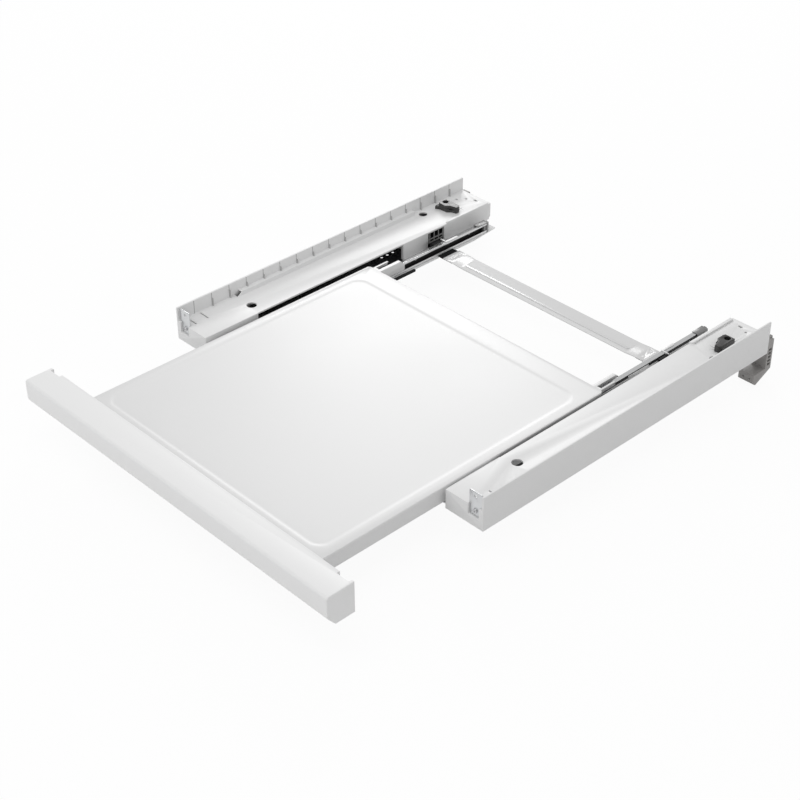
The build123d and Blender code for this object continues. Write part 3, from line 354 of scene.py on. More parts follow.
@dataclass(frozen=True, kw_only=True)
class Finish:
    """A finish whose tone, roughness and relief follow noises.

    Attributes:
        name: The material's name.
        colour: Linear base colour.
        roughness: Middle roughness.
        metal: How metallic it is.
        sheen: Specular level.
        tones: Darkest and lightest tone as shares of the colour.
        tone: Noises that the tone follows, with their shares.
        gloss: Noises that the roughness follows, with the swing over each.
        relief: Noises that the relief follows, with their shares.
        depth: Depth of the relief in metres.
        strength: Strength of the relief.
    """

    name: str
    colour: Colour
    roughness: float
    metal: float = 0.0
    sheen: float = 0.5
    tones: Span
    tone: Mixture
    gloss: Mixture
    relief: Mixture
    depth: float
    strength: float

    def layer(self, recipe: Recipe, noise: Noise) -> Socket:
        """The value of one of the finish's noises."""
        return recipe.noise(noise)

    def total(self, recipe: Recipe, mixture: Mixture) -> Socket:
        """The sum of noises, each times its share."""
        return sum((self.layer(recipe, noise) * share for noise, share in mixture), start=0.0)

    def mark(self, recipe: Recipe, looks: Looks) -> None:
        """Changes the looks where a finish has marks of its own; a plain one has none."""

    def make(self) -> bpy.types.Material:
        """Builds the material.

        Returns:
            The finished material.
        """
        recipe = Recipe(self.name)
        swings = (self.layer(recipe, noise).swing(reach) for noise, reach in self.gloss)
        looks = Looks(
            colour=recipe.tones(self.total(recipe, self.tone), self.colour, self.tones),
            metal=self.metal,
            rough=sum(swings, start=self.roughness),
            height=self.total(recipe, self.relief),
        )
        self.mark(recipe, looks)
        bump = recipe.node(
            "ShaderNodeBump", Height=looks.height, Distance=self.depth, Strength=self.strength
        )
        return recipe.surface(
            Base_Color=looks.colour,
            Metallic=looks.metal,
            Roughness=looks.rough,
            Specular_IOR_Level=self.sheen,
            Normal=recipe.out(bump, "Normal"),
        )


@dataclass(frozen=True, kw_only=True)
class MouldedPlastic(Finish):
    """Spark-eroded moulded plastic with a fine grain and faint flow marks."""

    tone: Mixture = ((DRIFT, 0.65), (FLOW, 0.35))
    gloss: Mixture = ((FLOW, 0.10), (GRAIN, 0.06))
    relief: Mixture = ((GRAIN, 0.7), (PORES, 0.3))
    depth: float = 0.03 * MM
    strength: float = 0.45


@dataclass(frozen=True, kw_only=True)
class RailPlastic(MouldedPlastic):
    """Moulded plastic whose fin ribs carry painted shade on their front sides.

    Attributes:
        rib_shade_colour: Linear colour of the painted shade on the ribs' front sides.
        rib_floor: Height from which the ribs stand up.
        rib_first: Where the first rib's strip of painted shade begins, from front to back.
        rib_pitch: Distance from rib to rib.
        rib_shade_width: Depth of the strip of painted shade.
    """

    relief: Mixture = ((GRAIN, 1.0),)
    rib_shade_colour: Colour = (0.42, 0.42, 0.42)
    rib_across: Span = (293.6 * MM, 297.1 * MM)
    rib_floor: float = 30.0 * MM
    rib_first: float = -381.95 * MM
    rib_pitch: float = 474.5 * MM / 15
    rib_shade_width: float = 1.2 * MM

    def mark(self, recipe: Recipe, looks: Looks) -> None:
        """Adds the painted shade on the ribs' front sides.

        Args:
            recipe: The material under construction.
            looks: Its looks, of which the colour is changed.
        """
        x_place, y_place, z_place = recipe.axes()
        # painted shade: a thin strip on each fin rib's front side is darkened, standing in for the
        # shadow on that side
        steps = ((y_place - self.rib_first) / self.rib_pitch).fraction()
        strip = (steps < self.rib_shade_width / self.rib_pitch) * abs(x_place).between(*self.rib_across)
        looks.colour = recipe.mix(strip * (z_place > self.rib_floor), looks.colour, self.rib_shade_colour)


@dataclass(frozen=True, kw_only=True)
class RibbedMoulding(MouldedPlastic):
    """Black moulding whose ribbed front face above a height is painted grey, a painted highlight on
    the rib fronts that leaves the cells dark.

    Attributes:
        face: Linear colour of the painted highlight on the ribbed face.
        face_tones: Darkest and lightest tone as shares of it.
        face_from: Height from which the face turns grey.
        face_to: Height from which it is grey.
    """

    tones: Span = (0.8, 1.25)
    tone: Mixture = ((WEAR, 1.0),)
    gloss: Mixture = ((FINE_GRAIN, 0.1),)
    relief: Mixture = ((FINE_GRAIN, 1.0),)
    face: Colour = (0.26, 0.26, 0.26)
    face_tones: Span = (0.88, 1.1)
    face_from: float = 8.5 * MM
    face_to: float = 10.0 * MM
    face_across: Span = (235.5 * MM, 237.0 * MM)

    def mark(self, recipe: Recipe, looks: Looks) -> None:
        """Adds the painted highlight on the ribbed face.

        Args:
            recipe: The material under construction.
            looks: Its looks, of which the colour is changed.
        """
        x_place, _, z_place = recipe.axes()
        rise = recipe.node(
            "ShaderNodeMapRange",
            {"interpolation_type": "SMOOTHSTEP"},
            Value=z_place,
            From_Min=self.face_from,
            From_Max=self.face_to,
        )
        # painted highlight: the rib fronts above the height turn grey, standing in for the light on
        # them
        lit_rib_fronts = recipe.out(rise, "Result") * abs(x_place).between(*self.face_across)
        grey = recipe.tones(recipe.noise(WEAR), self.face, self.face_tones)
        looks.colour = recipe.mix(lit_rib_fronts, looks.colour, grey)


@dataclass(frozen=True, kw_only=True)
class PowderCoat(Finish):
    """White powder coat over sheet steel, with a slight orange peel, and painted shade where a
    plate runs inside its housing.

    Attributes:
        housing_shade_colour: Linear colour of the painted shade on the plate inside the housing.
        housing_shade_above: Height above which the plate is painted dark there.
    """

    roughness: float = 0.34
    tones: Span = (0.985, 1.012)
    tone: Mixture = ((PAINT, 1.0),)
    gloss: Mixture = ((PAINT, 0.08), (DUST, 0.05))
    relief: Mixture = ((PEEL, 0.8), (DUST, 0.2))
    depth: float = 0.025 * MM
    strength: float = 0.35
    housing_shade_colour: Colour = (0.04, 0.04, 0.042)
    housing_shade_from: float = 1.0
    housing_shade_above: float = 0.6 * MM

    def mark(self, recipe: Recipe, looks: Looks) -> None:
        """Adds the painted shade on the plate inside the housing.

        Args:
            recipe: The material under construction.
            looks: Its looks, of which the colour is changed.
        """
        x_place, _, z_place = recipe.axes()
        # painted shade: far out to the side and above a small height the coat turns near black,
        # standing in for the shade inside the rail housing
        shaded_inside = (abs(x_place) > self.housing_shade_from) * (z_place > self.housing_shade_above)
        looks.colour = recipe.mix(shaded_inside, looks.colour, self.housing_shade_colour)


@dataclass(frozen=True, kw_only=True)
class ZincPlate(Finish):
    """Bright zinc plate on rolled steel, streaked along the rolling direction.

    Attributes:
        along: How the streaks are stretched along each axis.
    """

    metal: float = 0.92
    tones: Span = (0.93, 1.06)
    tone: Mixture = ((BLOOM, 1.0),)
    gloss: Mixture = ((STREAKS, 0.14), (BLOOM, 0.08))
    relief: Mixture = ((STREAKS, 1.0),)
    depth: float = 0.012 * MM
    strength: float = 0.5
    along: tuple[float, float, float] = STREAKS.stretch

    def layer(self, recipe: Recipe, noise: Noise) -> Socket:
        """The value of a noise, with the streaks stretched along the piece."""
        return recipe.noise(replace(noise, stretch=self.along) if noise is STREAKS else noise)


@dataclass(frozen=True, kw_only=True)
class SlideChannel(Finish):
    """Bright zinc-plated slide with a slightly leaning top, whose channel and outer web are painted
    near black as painted shade.

    Attributes:
        channel_shade: Linear colour of the painted shade inside the channel.
        channel_shade_tones: Darkest and lightest tone as shares of it.
        inside_rough: What is added to the roughness inside the channel.
        heights: Lowest and highest point of the channel.
        top: Height from which the plate is the slide's top.
        top_metal: How metallic the top is.
        top_gloss: What the top lacks of the roughness.
        lean: Slope of the top, downwards to the outside.
    """

    roughness: float = 0.36
    metal: float = 0.4
    tones: Span = (0.94, 1.05)
    tone: Mixture = ((SMEAR, 1.0),)
    gloss: Mixture = ((STREAKS, 0.12),)
    relief: Mixture = ((STREAKS, 0.006 * MM),)
    depth: float = 1.0
    strength: float = 1.0
    channel_shade: Colour = (0.014, 0.014, 0.015)
    channel_shade_tones: Span = (0.6, 1.5)
    inside_rough: float = 0.12
    across: Span = (209.9 * MM, 230.0 * MM)
    heights: Span = (2.4 * MM, 17.0 * MM)
    top: float = 17.3 * MM
    top_in: float = 210.2 * MM
    top_metal: float = 0.9
    top_gloss: float = 0.22
    lean: float = 0.13

    def mark(self, recipe: Recipe, looks: Looks) -> None:
        """Adds the painted shade in the channel and the lean of the top.

        Args:
            recipe: The material under construction.
            looks: Its looks, which are changed.
        """
        x_place, _, z_place = recipe.axes()
        # painted shade: inside the channel and across its outer web the plate turns near black and
        # loses its metal, standing in for the shade there
        inside = abs(x_place).between(*self.across) * z_place.between(*self.heights)
        crown = (z_place > self.top) * (abs(x_place) > self.top_in)
        channel_shade = recipe.tones(recipe.noise(SMEAR), self.channel_shade, self.channel_shade_tones)
        looks.colour = recipe.mix(inside, looks.colour, channel_shade)
        looks.metal = self.metal * (1.0 - inside) + (self.top_metal - self.metal) * crown
        looks.rough = looks.rough + inside * self.inside_rough - crown * self.top_gloss
        looks.height = looks.height - crown * abs(x_place) * self.lean


def grey(tone: float) -> Colour:
    """A plain grey."""
    return (tone, tone, tone)


def moulded(name: str, colour: Colour, roughness: float, mottle: float, **more: float) -> Finish:
    """A moulded plastic whose tone drifts by a share to both sides."""
    tones = (1.0 - mottle, 1.0 + mottle)
    return MouldedPlastic(name=name, colour=colour, roughness=roughness, tones=tones, **more)


@dataclass(frozen=True)
class Finishes:
    rail: Finish = RailPlastic(
        name="rail_white_plastic", colour=grey(0.80), roughness=0.42, tones=(0.988, 1.012)
    )
    bar: Finish = moulded("bar_white_plastic", grey(0.84), 0.40, mottle=0.010)
    keeper: Finish = moulded(
        "keeper_black_plastic", (0.010, 0.010, 0.011), 0.60, mottle=0.15, sheen=0.15
    )
    clamp: Finish = moulded(
        "clamp_dark_plastic", (0.024, 0.023, 0.0225), 0.34, mottle=0.12, depth=0.04 * MM, sheen=0.6
    )
    cap: Finish = moulded(
        "cap_dark_plastic", grey(0.17), 0.34, mottle=0.08, depth=0.01 * MM, sheen=0.8
    )
    hook: Finish = moulded(
        "hook_warm_grey_plastic", (0.31, 0.30, 0.292), 0.40, mottle=0.05, depth=0.04 * MM
    )
    black: Finish = RibbedMoulding(
        name="cross_bar_end_plastic", colour=(0.010, 0.010, 0.011), roughness=0.60, sheen=0.15
    )
    sheet: Finish = PowderCoat(name="sheet_white_coat", colour=grey(0.77))
    plate: Finish = PowderCoat(name="plate_white_coat", colour=grey(0.77), housing_shade_from=237.2 * MM)
    strip: Finish = PowderCoat(name="strip_white_coat", colour=grey(0.71), roughness=0.24)
    zinc: Finish = ZincPlate(name="zinc_sheet", colour=(0.66, 0.67, 0.68), roughness=0.36)
    fastener: Finish = ZincPlate(
        name="zinc_fastener", colour=(0.60, 0.60, 0.61), roughness=0.32, along=(1.0, 1.0, 0.15)
    )
    pivot: Finish = ZincPlate(
        name="blackened_pivot", colour=grey(0.02), roughness=0.42, along=(1.0, 1.0, 0.15)
    )
    ball: Finish = ZincPlate(
        name="bearing_steel", colour=(0.74, 0.74, 0.75), roughness=0.12, along=(1.0, 1.0, 1.0)
    )
    slide: Finish = SlideChannel(name="slide_channel", colour=(0.76, 0.765, 0.77))


# Mesh work


def body_of(node: str) -> str:
    """The CAD body that a node belongs to."""
    bodies = frame["record"]["behaviour"]["bodies"]
    return next(body for body, members in bodies.items() if node in members)


def slot_of(node: str) -> str:
    """The material slot that the record gives a node."""
    parts = frame["record"]["subparts"]
    return next(part["material_slot"] for part in parts if part["node"] == node)


def merged(node: str) -> bmesh.types.BMesh:
    """A CAD node's mesh with its doubles merged and its flat faces whole.

    Args:
        node: The CAD node's name.

    Returns:
        The mesh, to be freed by the caller.
    """
    mesh = bmesh.new()
    mesh.from_mesh(frame["nodes"][node].data)
    bmesh.ops.remove_doubles(mesh, verts=mesh.verts, dist=MERGE_DISTANCE)
    limit = math.radians(FLAT_ANGLE)
    bmesh.ops.dissolve_limit(mesh, angle_limit=limit, verts=mesh.verts, edges=mesh.edges)
    return mesh


def islands(node: str) -> list[tuple[Vector, Vector]]:
    """The box of each separate solid in a node, in order of place.

    Args:
        node: The CAD node's name.

    Returns:
        Lowest and highest corner of each solid.
    """
    mesh = merged(node)
    left = set(mesh.verts)
    boxes = []
    while left:
        stack = [left.pop()]
        corner_low = stack[0].co.copy()
        corner_high = stack[0].co.copy()
        while stack:
            vertex = stack.pop()
            for axis in range(3):
                corner_low[axis] = min(corner_low[axis], vertex.co[axis])
                corner_high[axis] = max(corner_high[axis], vertex.co[axis])
            for edge in vertex.link_edges:
                other = edge.other_vert(vertex)
                if other in left:
                    left.remove(other)
                    stack.append(other)
        boxes.append((corner_low, corner_high))
    mesh.free()
    return sorted(boxes, key=lambda box: tuple(round(place, PLACE_DIGITS) for place in box[0]))


def smooth(mesh: bmesh.types.BMesh, angle: float = 32.0) -> None:
    """Shades a mesh smooth between its sharp edges.

    Args:
        mesh: The mesh.
        angle: Angle between two faces, in degrees, from which their edge is sharp.
    """
    limit = math.radians(angle)
    for face in mesh.faces:
        face.smooth = True
    for edge in mesh.edges:
        edge.smooth = len(edge.link_faces) == 2 and edge.calc_face_angle(math.pi) < limit


def link_object(name: str, data: bpy.types.ID) -> bpy.types.Object:
    """Adds an object to the scene.

    Args:
        name: The object's name.
        data: Its mesh, lamp or camera.

    Returns:
        The object.
    """
    thing = bpy.data.objects.new(name, data)
    bpy.context.scene.collection.objects.link(thing)
    return thing


def new_piece(name: str, mesh: bmesh.types.BMesh, material: bpy.types.Material) -> bpy.types.Object:
    """Makes an object of a mesh and frees the mesh.

    Args:
        name: The object's name.
        mesh: The mesh.
        material: Its one material.

    Returns:
        The object.
    """
    data = bpy.data.meshes.new(name)
    mesh.to_mesh(data)
    mesh.free()
    data.materials.append(material)
    return link_object(name, data)


def hand_over(piece: bpy.types.Object, node: str) -> None:
    """Puts a finished piece on its CAD body.

    Args:
        piece: The piece.
        node: The CAD node that it stands for.
    """
    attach(piece, body_of(node))
    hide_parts(node)
    slot_of(node)
    LOG.info("%s: %d faces, on %s", piece.name, len(piece.data.polygons), body_of(node))


@dataclass(frozen=True)
class EdgeBreak:
    """How edges of a piece are broken.

    Attributes:
        width: Width of the break in metres.
        segments: Facets across the break.
        sharper_than: Angle in degrees above which an edge is broken.
        blunter_than: Angle in degrees below which it is.
        rise: Rise along an edge in metres below which it is.
    """

    width: float
    segments: int = 2
    sharper_than: float = 35.0
    blunter_than: float = 181.0
    rise: float = 1.0

    def apply(self, mesh: bmesh.types.BMesh) -> None:
        """Bevels a mesh's edges.

        Args:
            mesh: The mesh.
        """
        low, high = math.radians(self.sharper_than), math.radians(self.blunter_than)
        edges = [
            edge
            for edge in mesh.edges
            if len(edge.link_faces) == 2
            and low < edge.calc_face_angle(0.0) < high
            and abs(edge.verts[0].co.z - edge.verts[1].co.z) < self.rise
        ]
        bmesh.ops.bevel(
            mesh,
            geom=edges,
            offset=self.width,
            offset_type="OFFSET",
            segments=self.segments,
            profile=ROUND,
            affect="EDGES",
            clamp_overlap=False,
        )


@dataclass
class Moulding:
    """A piece that keeps its CAD node's shape and gets broken edges and a finish.

    Attributes:
        node: The CAD node.
        piece_name: The new piece's name.
        breaks: How its edges are broken, step by step.
    """

    node: str
    piece_name: str
    breaks: Sequence[EdgeBreak]

    def build(self, material: bpy.types.Material) -> None:
        """Builds the piece and puts it in the node's place.

        Args:
            material: The finish.
        """
        mesh = merged(self.node)
        for step in self.breaks:
            step.apply(mesh)
        smooth(mesh)
        hand_over(new_piece(self.piece_name, mesh, material), self.node)


def dress_pairs(*kinds: tuple[str, str, EdgeBreak, bpy.types.Material]) -> None:
    """Builds the left and the right piece of each kind.

    Args:
        kinds: Node and piece name, both without the side, with edge break and finish.
    """
    for side in SIDES:
        for node, piece_name, edges, material in kinds:
            Moulding(f"{side}_{node}", f"{side}_{piece_name}", [edges]).build(material)


# Geometry Nodes


class Tree(Nodes):
    """A Geometry Nodes tree under construction, with named inputs."""

    def __init__(self, name: str, inputs: dict[str, str]) -> None:
        """Starts a tree.

        Args:
            name: The tree's name.
            inputs: Its inputs' names and socket types.
        """
        super().__init__(bpy.data.node_groups.new(name, "GeometryNodeTree"))
        sockets = self.tree.interface
        sockets.new_socket("Geometry", in_out="OUTPUT", socket_type="NodeSocketGeometry")
        for label, kind in {"Geometry": "NodeSocketGeometry", **inputs}.items():
            sockets.new_socket(label, in_out="INPUT", socket_type=kind)
        self.entry = self.node("NodeGroupInput").outputs

    def close(self, geometry: bpy.types.NodeSocket) -> bpy.types.NodeTree:
        """Ends the tree in Realize Instances and Set Material.

        Args:
            geometry: What the tree has made.

        Returns:
            The finished tree.
        """
        real = self.node("GeometryNodeRealizeInstances", Geometry=geometry)
        finish = self.entry["Finish"]
        dressed = self.node("GeometryNodeSetMaterial", Geometry=real.outputs[0], Material=finish)
        self.node("NodeGroupOutput", Geometry=dressed.outputs[0])
        return self.tree


def run_tree(
    name: str, seed_mesh: bpy.types.Mesh, tree: bpy.types.NodeTree, values: dict[str, object]
) -> bpy.types.Object:
    """Runs a tree over a mesh and keeps the result as a plain mesh.

    Args:
        name: The new piece's name.
        seed_mesh: The mesh that the tree starts from.
        tree: The Geometry Nodes tree.
        values: Its inputs by name.

    Returns:
        The new piece, without a modifier.
    """
    carrier = link_object(name + "_carrier", seed_mesh)
    modifier = carrier.modifiers.new("build", "NODES")
    modifier.node_group = tree
    identifiers = {
        item.name: item.identifier
        for item in tree.interface.items_tree
        if item.item_type == "SOCKET" and item.in_out == "INPUT"
    }
    for label, value in values.items():
        modifier[identifiers[label]] = value
    bpy.context.view_layer.update()
    evaluated = carrier.evaluated_get(bpy.context.evaluated_depsgraph_get())
    data = bpy.data.meshes.new_from_object(evaluated)
    data.name = name
    bpy.data.objects.remove(carrier)
    return link_object(name, data)


def seats_tree() -> bpy.types.NodeTree:
    """The tree that puts one fastener on each seat, turned along the seat's outward direction.

    Returns:
        The finished tree.
    """
    tree = Tree(
        "fasteners_on_seats",
        {"Fastener": "NodeSocketObject", "Seed": "NodeSocketInt", "Finish": "NodeSocketMaterial"},
    )
    fastener = tree.entry["Fastener"]
    shape = tree.node("GeometryNodeObjectInfo", {"transform_space": "ORIGINAL"}, Object=fastener)
    vector_kind = {"data_type": "FLOAT_VECTOR"}
    outward = tree.node("GeometryNodeInputNamedAttribute", vector_kind, Name="outward")
    turned = tree.node(
        "FunctionNodeAlignRotationToVector", {"axis": "Z"}, Vector=outward.outputs[0]
    )
    angle = tree.node("FunctionNodeRandomValue", {"data_type": "FLOAT"}, Seed=tree.entry["Seed"])
    lowest, highest, result = angle.inputs[2], angle.inputs[3], angle.outputs[1]
    tree.feed(lowest, 0.0)
    tree.feed(highest, math.pi)
    spin = tree.node("FunctionNodeAxisAngleToRotation", Angle=result, Axis=Axis.UP.value)
    rotation = tree.node("FunctionNodeRotateRotation", {"rotation_space": "LOCAL"})
    tree.feed(rotation.inputs[0], turned.outputs[0])
    tree.feed(rotation.inputs[1], spin.outputs[0])
    placed = tree.node(
        "GeometryNodeInstanceOnPoints",
        Points=tree.entry["Geometry"],
        Instance=shape.outputs["Geometry"],
        Rotation=rotation.outputs[0],
    )
    return tree.close(placed.outputs[0])


def ball_tree(subdivisions: int = 3) -> bpy.types.NodeTree:
    """The tree that lays a row of bearing balls from each starting point.

    Args:
        subdivisions: How finely a ball is divided.

    Returns:
        The finished tree.
    """
    tree = Tree(
        "bearing_ball_rows",
        {
            "Balls": "NodeSocketInt",
            "Pitch": "NodeSocketFloat",
            "Radius": "NodeSocketFloat",
            "Finish": "NodeSocketMaterial",
        },
    )
    size = {"Radius": tree.entry["Radius"], "Subdivisions": subdivisions}
    step = tree.node("ShaderNodeCombineXYZ", Y=tree.entry["Pitch"])
    line = tree.node("GeometryNodeMeshLine", Count=tree.entry["Balls"], Offset=step.outputs[0])
    ball = tree.node("GeometryNodeMeshIcoSphere", **size)
    round_ball = tree.node("GeometryNodeSetShadeSmooth", Geometry=ball.outputs[0])
    instances = "GeometryNodeInstanceOnPoints"
    row = tree.node(instances, Points=line.outputs[0], Instance=round_ball.outputs[0])
    rows = tree.node(instances, Points=tree.entry["Geometry"], Instance=row.outputs[0])
    return tree.close(rows.outputs[0])


def seat_mesh(name: str, seats: Sequence[tuple[Vector, Vector]]) -> bpy.types.Mesh:
    """A mesh of loose points, each with its outward direction.

    Args:
        name: The mesh's name.
        seats: Place and outward direction of each seat.

    Returns:
        The mesh.
    """
    data = bpy.data.meshes.new(name)
    data.from_pydata([tuple(place) for place, _ in seats], [], [])
    outward = data.attributes.new("outward", "FLOAT_VECTOR", "POINT")
    for number, (_, direction) in enumerate(seats):
        outward.data[number].vector = direction
    return data


# Fasteners and balls


@dataclass(frozen=True)
class Recess:
    """A cross recess in a screw's head.

    Attributes:
        arm: Reach of each arm from the axis.
        half_width: Half the width of an arm.
        depth: Depth of the recess.
        taper: Width of its floor as a share of its mouth's.
    """

    arm: float = 1.7 * MM
    half_width: float = 0.42 * MM
    depth: float = 1.1 * MM
    taper: float = 0.8

    def corners(self) -> Outline:
        """The corners of its mouth, one quarter after the other.

        Returns:
            The corners, anticlockwise.
        """
        arm, half = self.arm, self.half_width
        quarter = [(arm, -half), (arm, half), (half, half)]
        corners = []
        for _ in range(4):
            corners += quarter
            quarter = [(-y, x) for x, y in quarter]
        return corners


@dataclass
class Fastener:
    """One kind of screw or rivet, drawn with its head's top at the origin and its shank below.

    Attributes:
        node: The CAD node that holds all of them.
        piece_name: The new piece's name.
        outward: Which way each head points, from the middle of its solid.
        profile: Radius and depth below the head's top, from the head's rim down to the tip.
        recess: The recess in its head, if it has one.
        facets: Facets round the axis.
        sharp: Angle in degrees from which its edges are sharp.
    """

    node: str
    piece_name: str
    outward: Callable[[Vector], Axis]
    profile: Outline
    recess: Recess | None = None
    facets: int = 28
    sharp: float = 40.0

    def shape(self) -> bpy.types.Mesh:
        """Draws one fastener.

        Returns:
            Its mesh.
        """
        mesh = bmesh.new()
        turns = [math.tau * turn / self.facets for turn in range(self.facets)]
        rings = [
            [
                mesh.verts.new((radius * math.cos(turn), radius * math.sin(turn), -depth))
                for turn in turns
            ]
            for radius, depth in self.profile
        ]
        for upper, lower in zip(rings, rings[1:]):
            for turn in range(self.facets):
                after = (turn + 1) % self.facets
                mesh.faces.new((upper[turn], lower[turn], lower[after], upper[after]))
        mesh.faces.new(list(reversed(rings[-1])))
        if self.recess:
            self._sink(mesh, rings[0], self.recess)
        else:
            mesh.faces.new(rings[0])
        bmesh.ops.recalc_face_normals(mesh, faces=mesh.faces)
        smooth(mesh, self.sharp)
        data = bpy.data.meshes.new(self.piece_name + "_one")
        mesh.to_mesh(data)
        mesh.free()
        return data

    def _sink(self, mesh: bmesh.types.BMesh, rim: list[bmesh.types.BMVert], recess: Recess) -> None:
        """Sinks a recess into the flat inside the head's rim.

        Args:
            mesh: The fastener's mesh.
            rim: The vertices of the rim.
            recess: The recess.
        """
        level = -self.profile[0][1]
        taper = recess.taper
        corners = recess.corners()
        top = [mesh.verts.new((x, y, level)) for x, y in corners]
        floor = [mesh.verts.new((taper * x, taper * y, level - recess.depth)) for x, y in corners]
        edges = [mesh.edges.get((rim[turn - 1], rim[turn])) for turn in range(self.facets)]
        edges += [mesh.edges.new((top[turn - 1], top[turn])) for turn in range(len(corners))]
        bmesh.ops.triangle_fill(mesh, edges=edges, use_beauty=True)
        for turn in range(len(corners)):
            mesh.faces.new((top[turn - 1], top[turn], floor[turn], floor[turn - 1]))
        mesh.faces.new(floor)

    def seats(self) -> list[tuple[Vector, Vector]]:
        """Where each fastener's head ends, and which way it points.

        Returns:
            Place and direction of each.
        """
        found = []
        for low, high in islands(self.node):
            middle = (low + high) / 2
            direction = self.outward(middle).vector
            reach = Vector((high - low)[axis] / 2 * direction[axis] for axis in range(3))
            found.append((middle + reach, direction))
        return found

    def build(self, material: bpy.types.Material, tree: bpy.types.NodeTree) -> None:
        """Puts every fastener of the node in place as one piece.

        Args:
            material: The finish.
            tree: The tree that puts a fastener on each seat.
        """
        one = link_object(self.piece_name + "_one", self.shape())
        seats = seat_mesh(self.piece_name + "_seats", self.seats())
        values = {"Fastener": one, "Seed": RANDOM_SEED, "Finish": material}
        piece = run_tree(self.piece_name, seats, tree, values)
        bpy.data.objects.remove(one)
        hand_over(piece, self.node)


def inward(middle: Vector) -> Axis:
    return Axis.RIGHT if middle.x < 0 else Axis.LEFT


def sideways(middle: Vector) -> Axis:
    return Axis.LEFT if middle.x < 0 else Axis.RIGHT


def always(axis: Axis) -> Callable[[Vector], Axis]:
    """The same direction everywhere."""
    return lambda _middle: axis


def screw(head: Head, radius: float, height: float, shank: float, length: float) -> Outline:
    """The outline of a screw with a blunt tip.

    Args:
        head: The head's form.
        radius: Radius of the head.
        height: Height of the head.
        shank: Radius of the shank.
        length: Length of the whole screw.

    Returns:
        Radius and depth of each point, in metres.
    """
    tip_length, tip_radius = 0.6 * shank, 0.45 * shank
    below = [(shank, height), (shank, length - tip_length), (tip_radius, length)]
    return head.outline(radius, height) + below


def rivet(radius: float, height: float, shank: float, length: float) -> Outline:
    """The outline of a domed rivet, with its whole length."""
    return Head.DOME.outline(radius, height) + [(shank, height), (shank, length)]


@dataclass
class Fasteners:
    """Attributes:
        finish: Zinc plate of most of them.
        pivot: Blackened steel of the clamps' pivots.
        coated: White coat of the cross bar's rivets.
        pan_radius: Radius of the pan heads.
        pan_height: Height of the pan heads.
        cone_height: Height of the countersunk heads.
        shank: Radius of the screws' shanks.
        recess: Recess of the screws' heads.
        shoulder: Radius of the shoulders on the brackets' rivets.
        neck: Radius of those rivets between their shoulders.
    """

    finish: bpy.types.Material
    pivot: bpy.types.Material
    coated: bpy.types.Material
    pan_radius: float = 3.3 * MM
    pan_height: float = 2.0 * MM
    cone_height: float = 1.0 * MM
    shank: float = 1.9 * MM
    recess: Recess = Recess()
    shoulder: float = 1.4 * MM
    neck: float = 0.7 * MM

    def pan(self, node: str, outward: Callable[[Vector], Axis], length: float) -> Fastener:
        profile = screw(Head.PAN, self.pan_radius, self.pan_height, self.shank, length)
        return Fastener(node, node.removesuffix("s") + "_set", outward, profile, self.recess)

    def kinds(self) -> list[Fastener]:
        """Every kind of screw and rivet.

        Returns:
            The kinds.
        """
        flat = screw(Head.FLAT, self.pan_radius, self.cone_height, self.shank, length=10 * MM)
        pivot = screw(Head.PAN, radius=4.0 * MM, height=2.6 * MM, shank=2.5 * MM, length=14.6 * MM)
        low_rivet = rivet(radius=2.5 * MM, height=0.5 * MM, shank=1.5 * MM, length=2.8 * MM)
        slide_rivet = rivet(radius=2.5 * MM, height=1.0 * MM, shank=1.5 * MM, length=2.4 * MM)
        slide_flare = [(2.45 * MM, 3.4 * MM)]
        bracket_rivet = rivet(self.shoulder, height=1.0 * MM, shank=self.neck, length=2.2 * MM)
        shoulder_to, tail_to = 5.3 * MM, 6.4 * MM
        bracket_rivet += [
            (self.shoulder, 2.2 * MM),
            (self.shoulder, shoulder_to),
            (self.neck, shoulder_to),
            (self.neck, tail_to),
        ]
        up, down = always(Axis.UP), always(Axis.DOWN)
        return [
            self.pan("front_tab_screws", always(Axis.FRONT), 12 * MM),
            self.pan("rear_hook_screws", always(Axis.REAR), 16 * MM),
            self.pan("front_bar_screws", always(Axis.REAR), 13 * MM),
            self.pan("keeper_screws", inward, 13 * MM),
            Fastener("base_screws", "base_screw_set", down, flat, self.recess),
            Fastener("clamp_pivots", "clamp_pivot_set", up, pivot, self.recess),
            Fastener("cross_bar_rivets", "cross_bar_rivet_set", up, low_rivet),
            Fastener("slide_rivets", "slide_rivet_set", sideways, slide_rivet + slide_flare),
            Fastener("bracket_rivets", "bracket_rivet_set", inward, bracket_rivet, facets=16),
        ]

    def build(self) -> None:
        """Builds every kind."""
        tree = seats_tree()
        special = {"clamp_pivots": self.pivot, "cross_bar_rivets": self.coated}
        for kind in self.kinds():
            kind.build(special.get(kind.node, self.finish), tree)


@dataclass
class BallTrains:
    """The rows of bearing balls in both slides.

    Attributes:
        finish: Bearing steel.
        rows: Rows in each slide.
    """

    finish: bpy.types.Material
    rows: int = 2

    def build(self) -> None:
        """Lays each slide's rows as one piece."""
        tree = ball_tree()
        for side in SIDES:
            node = f"{side}_bearing_balls"
            boxes = islands(node)
            first_low, first_high = boxes[0]
            x_place = (first_low.x + first_high.x) / 2
            heights = sorted({round((low.z + high.z) / 2, HEIGHT_DIGITS) for low, high in boxes})
            middles = sorted((low.y + high.y) / 2 for low, high in boxes)
            count = len(boxes) // self.rows
            starts = [(Vector((x_place, middles[0], height)), Axis.UP.vector) for height in heights]
            values = {
                "Balls": count,
                "Pitch": (middles[-1] - middles[0]) / (count - 1),
                "Radius": (first_high.x - first_low.x) / 2,
                "Finish": self.finish,
            }
            seats = seat_mesh(f"{side}_ball_starts", starts)
            hand_over(run_tree(f"{side}_ball_train", seats, tree, values), node)


# Sub-assemblies


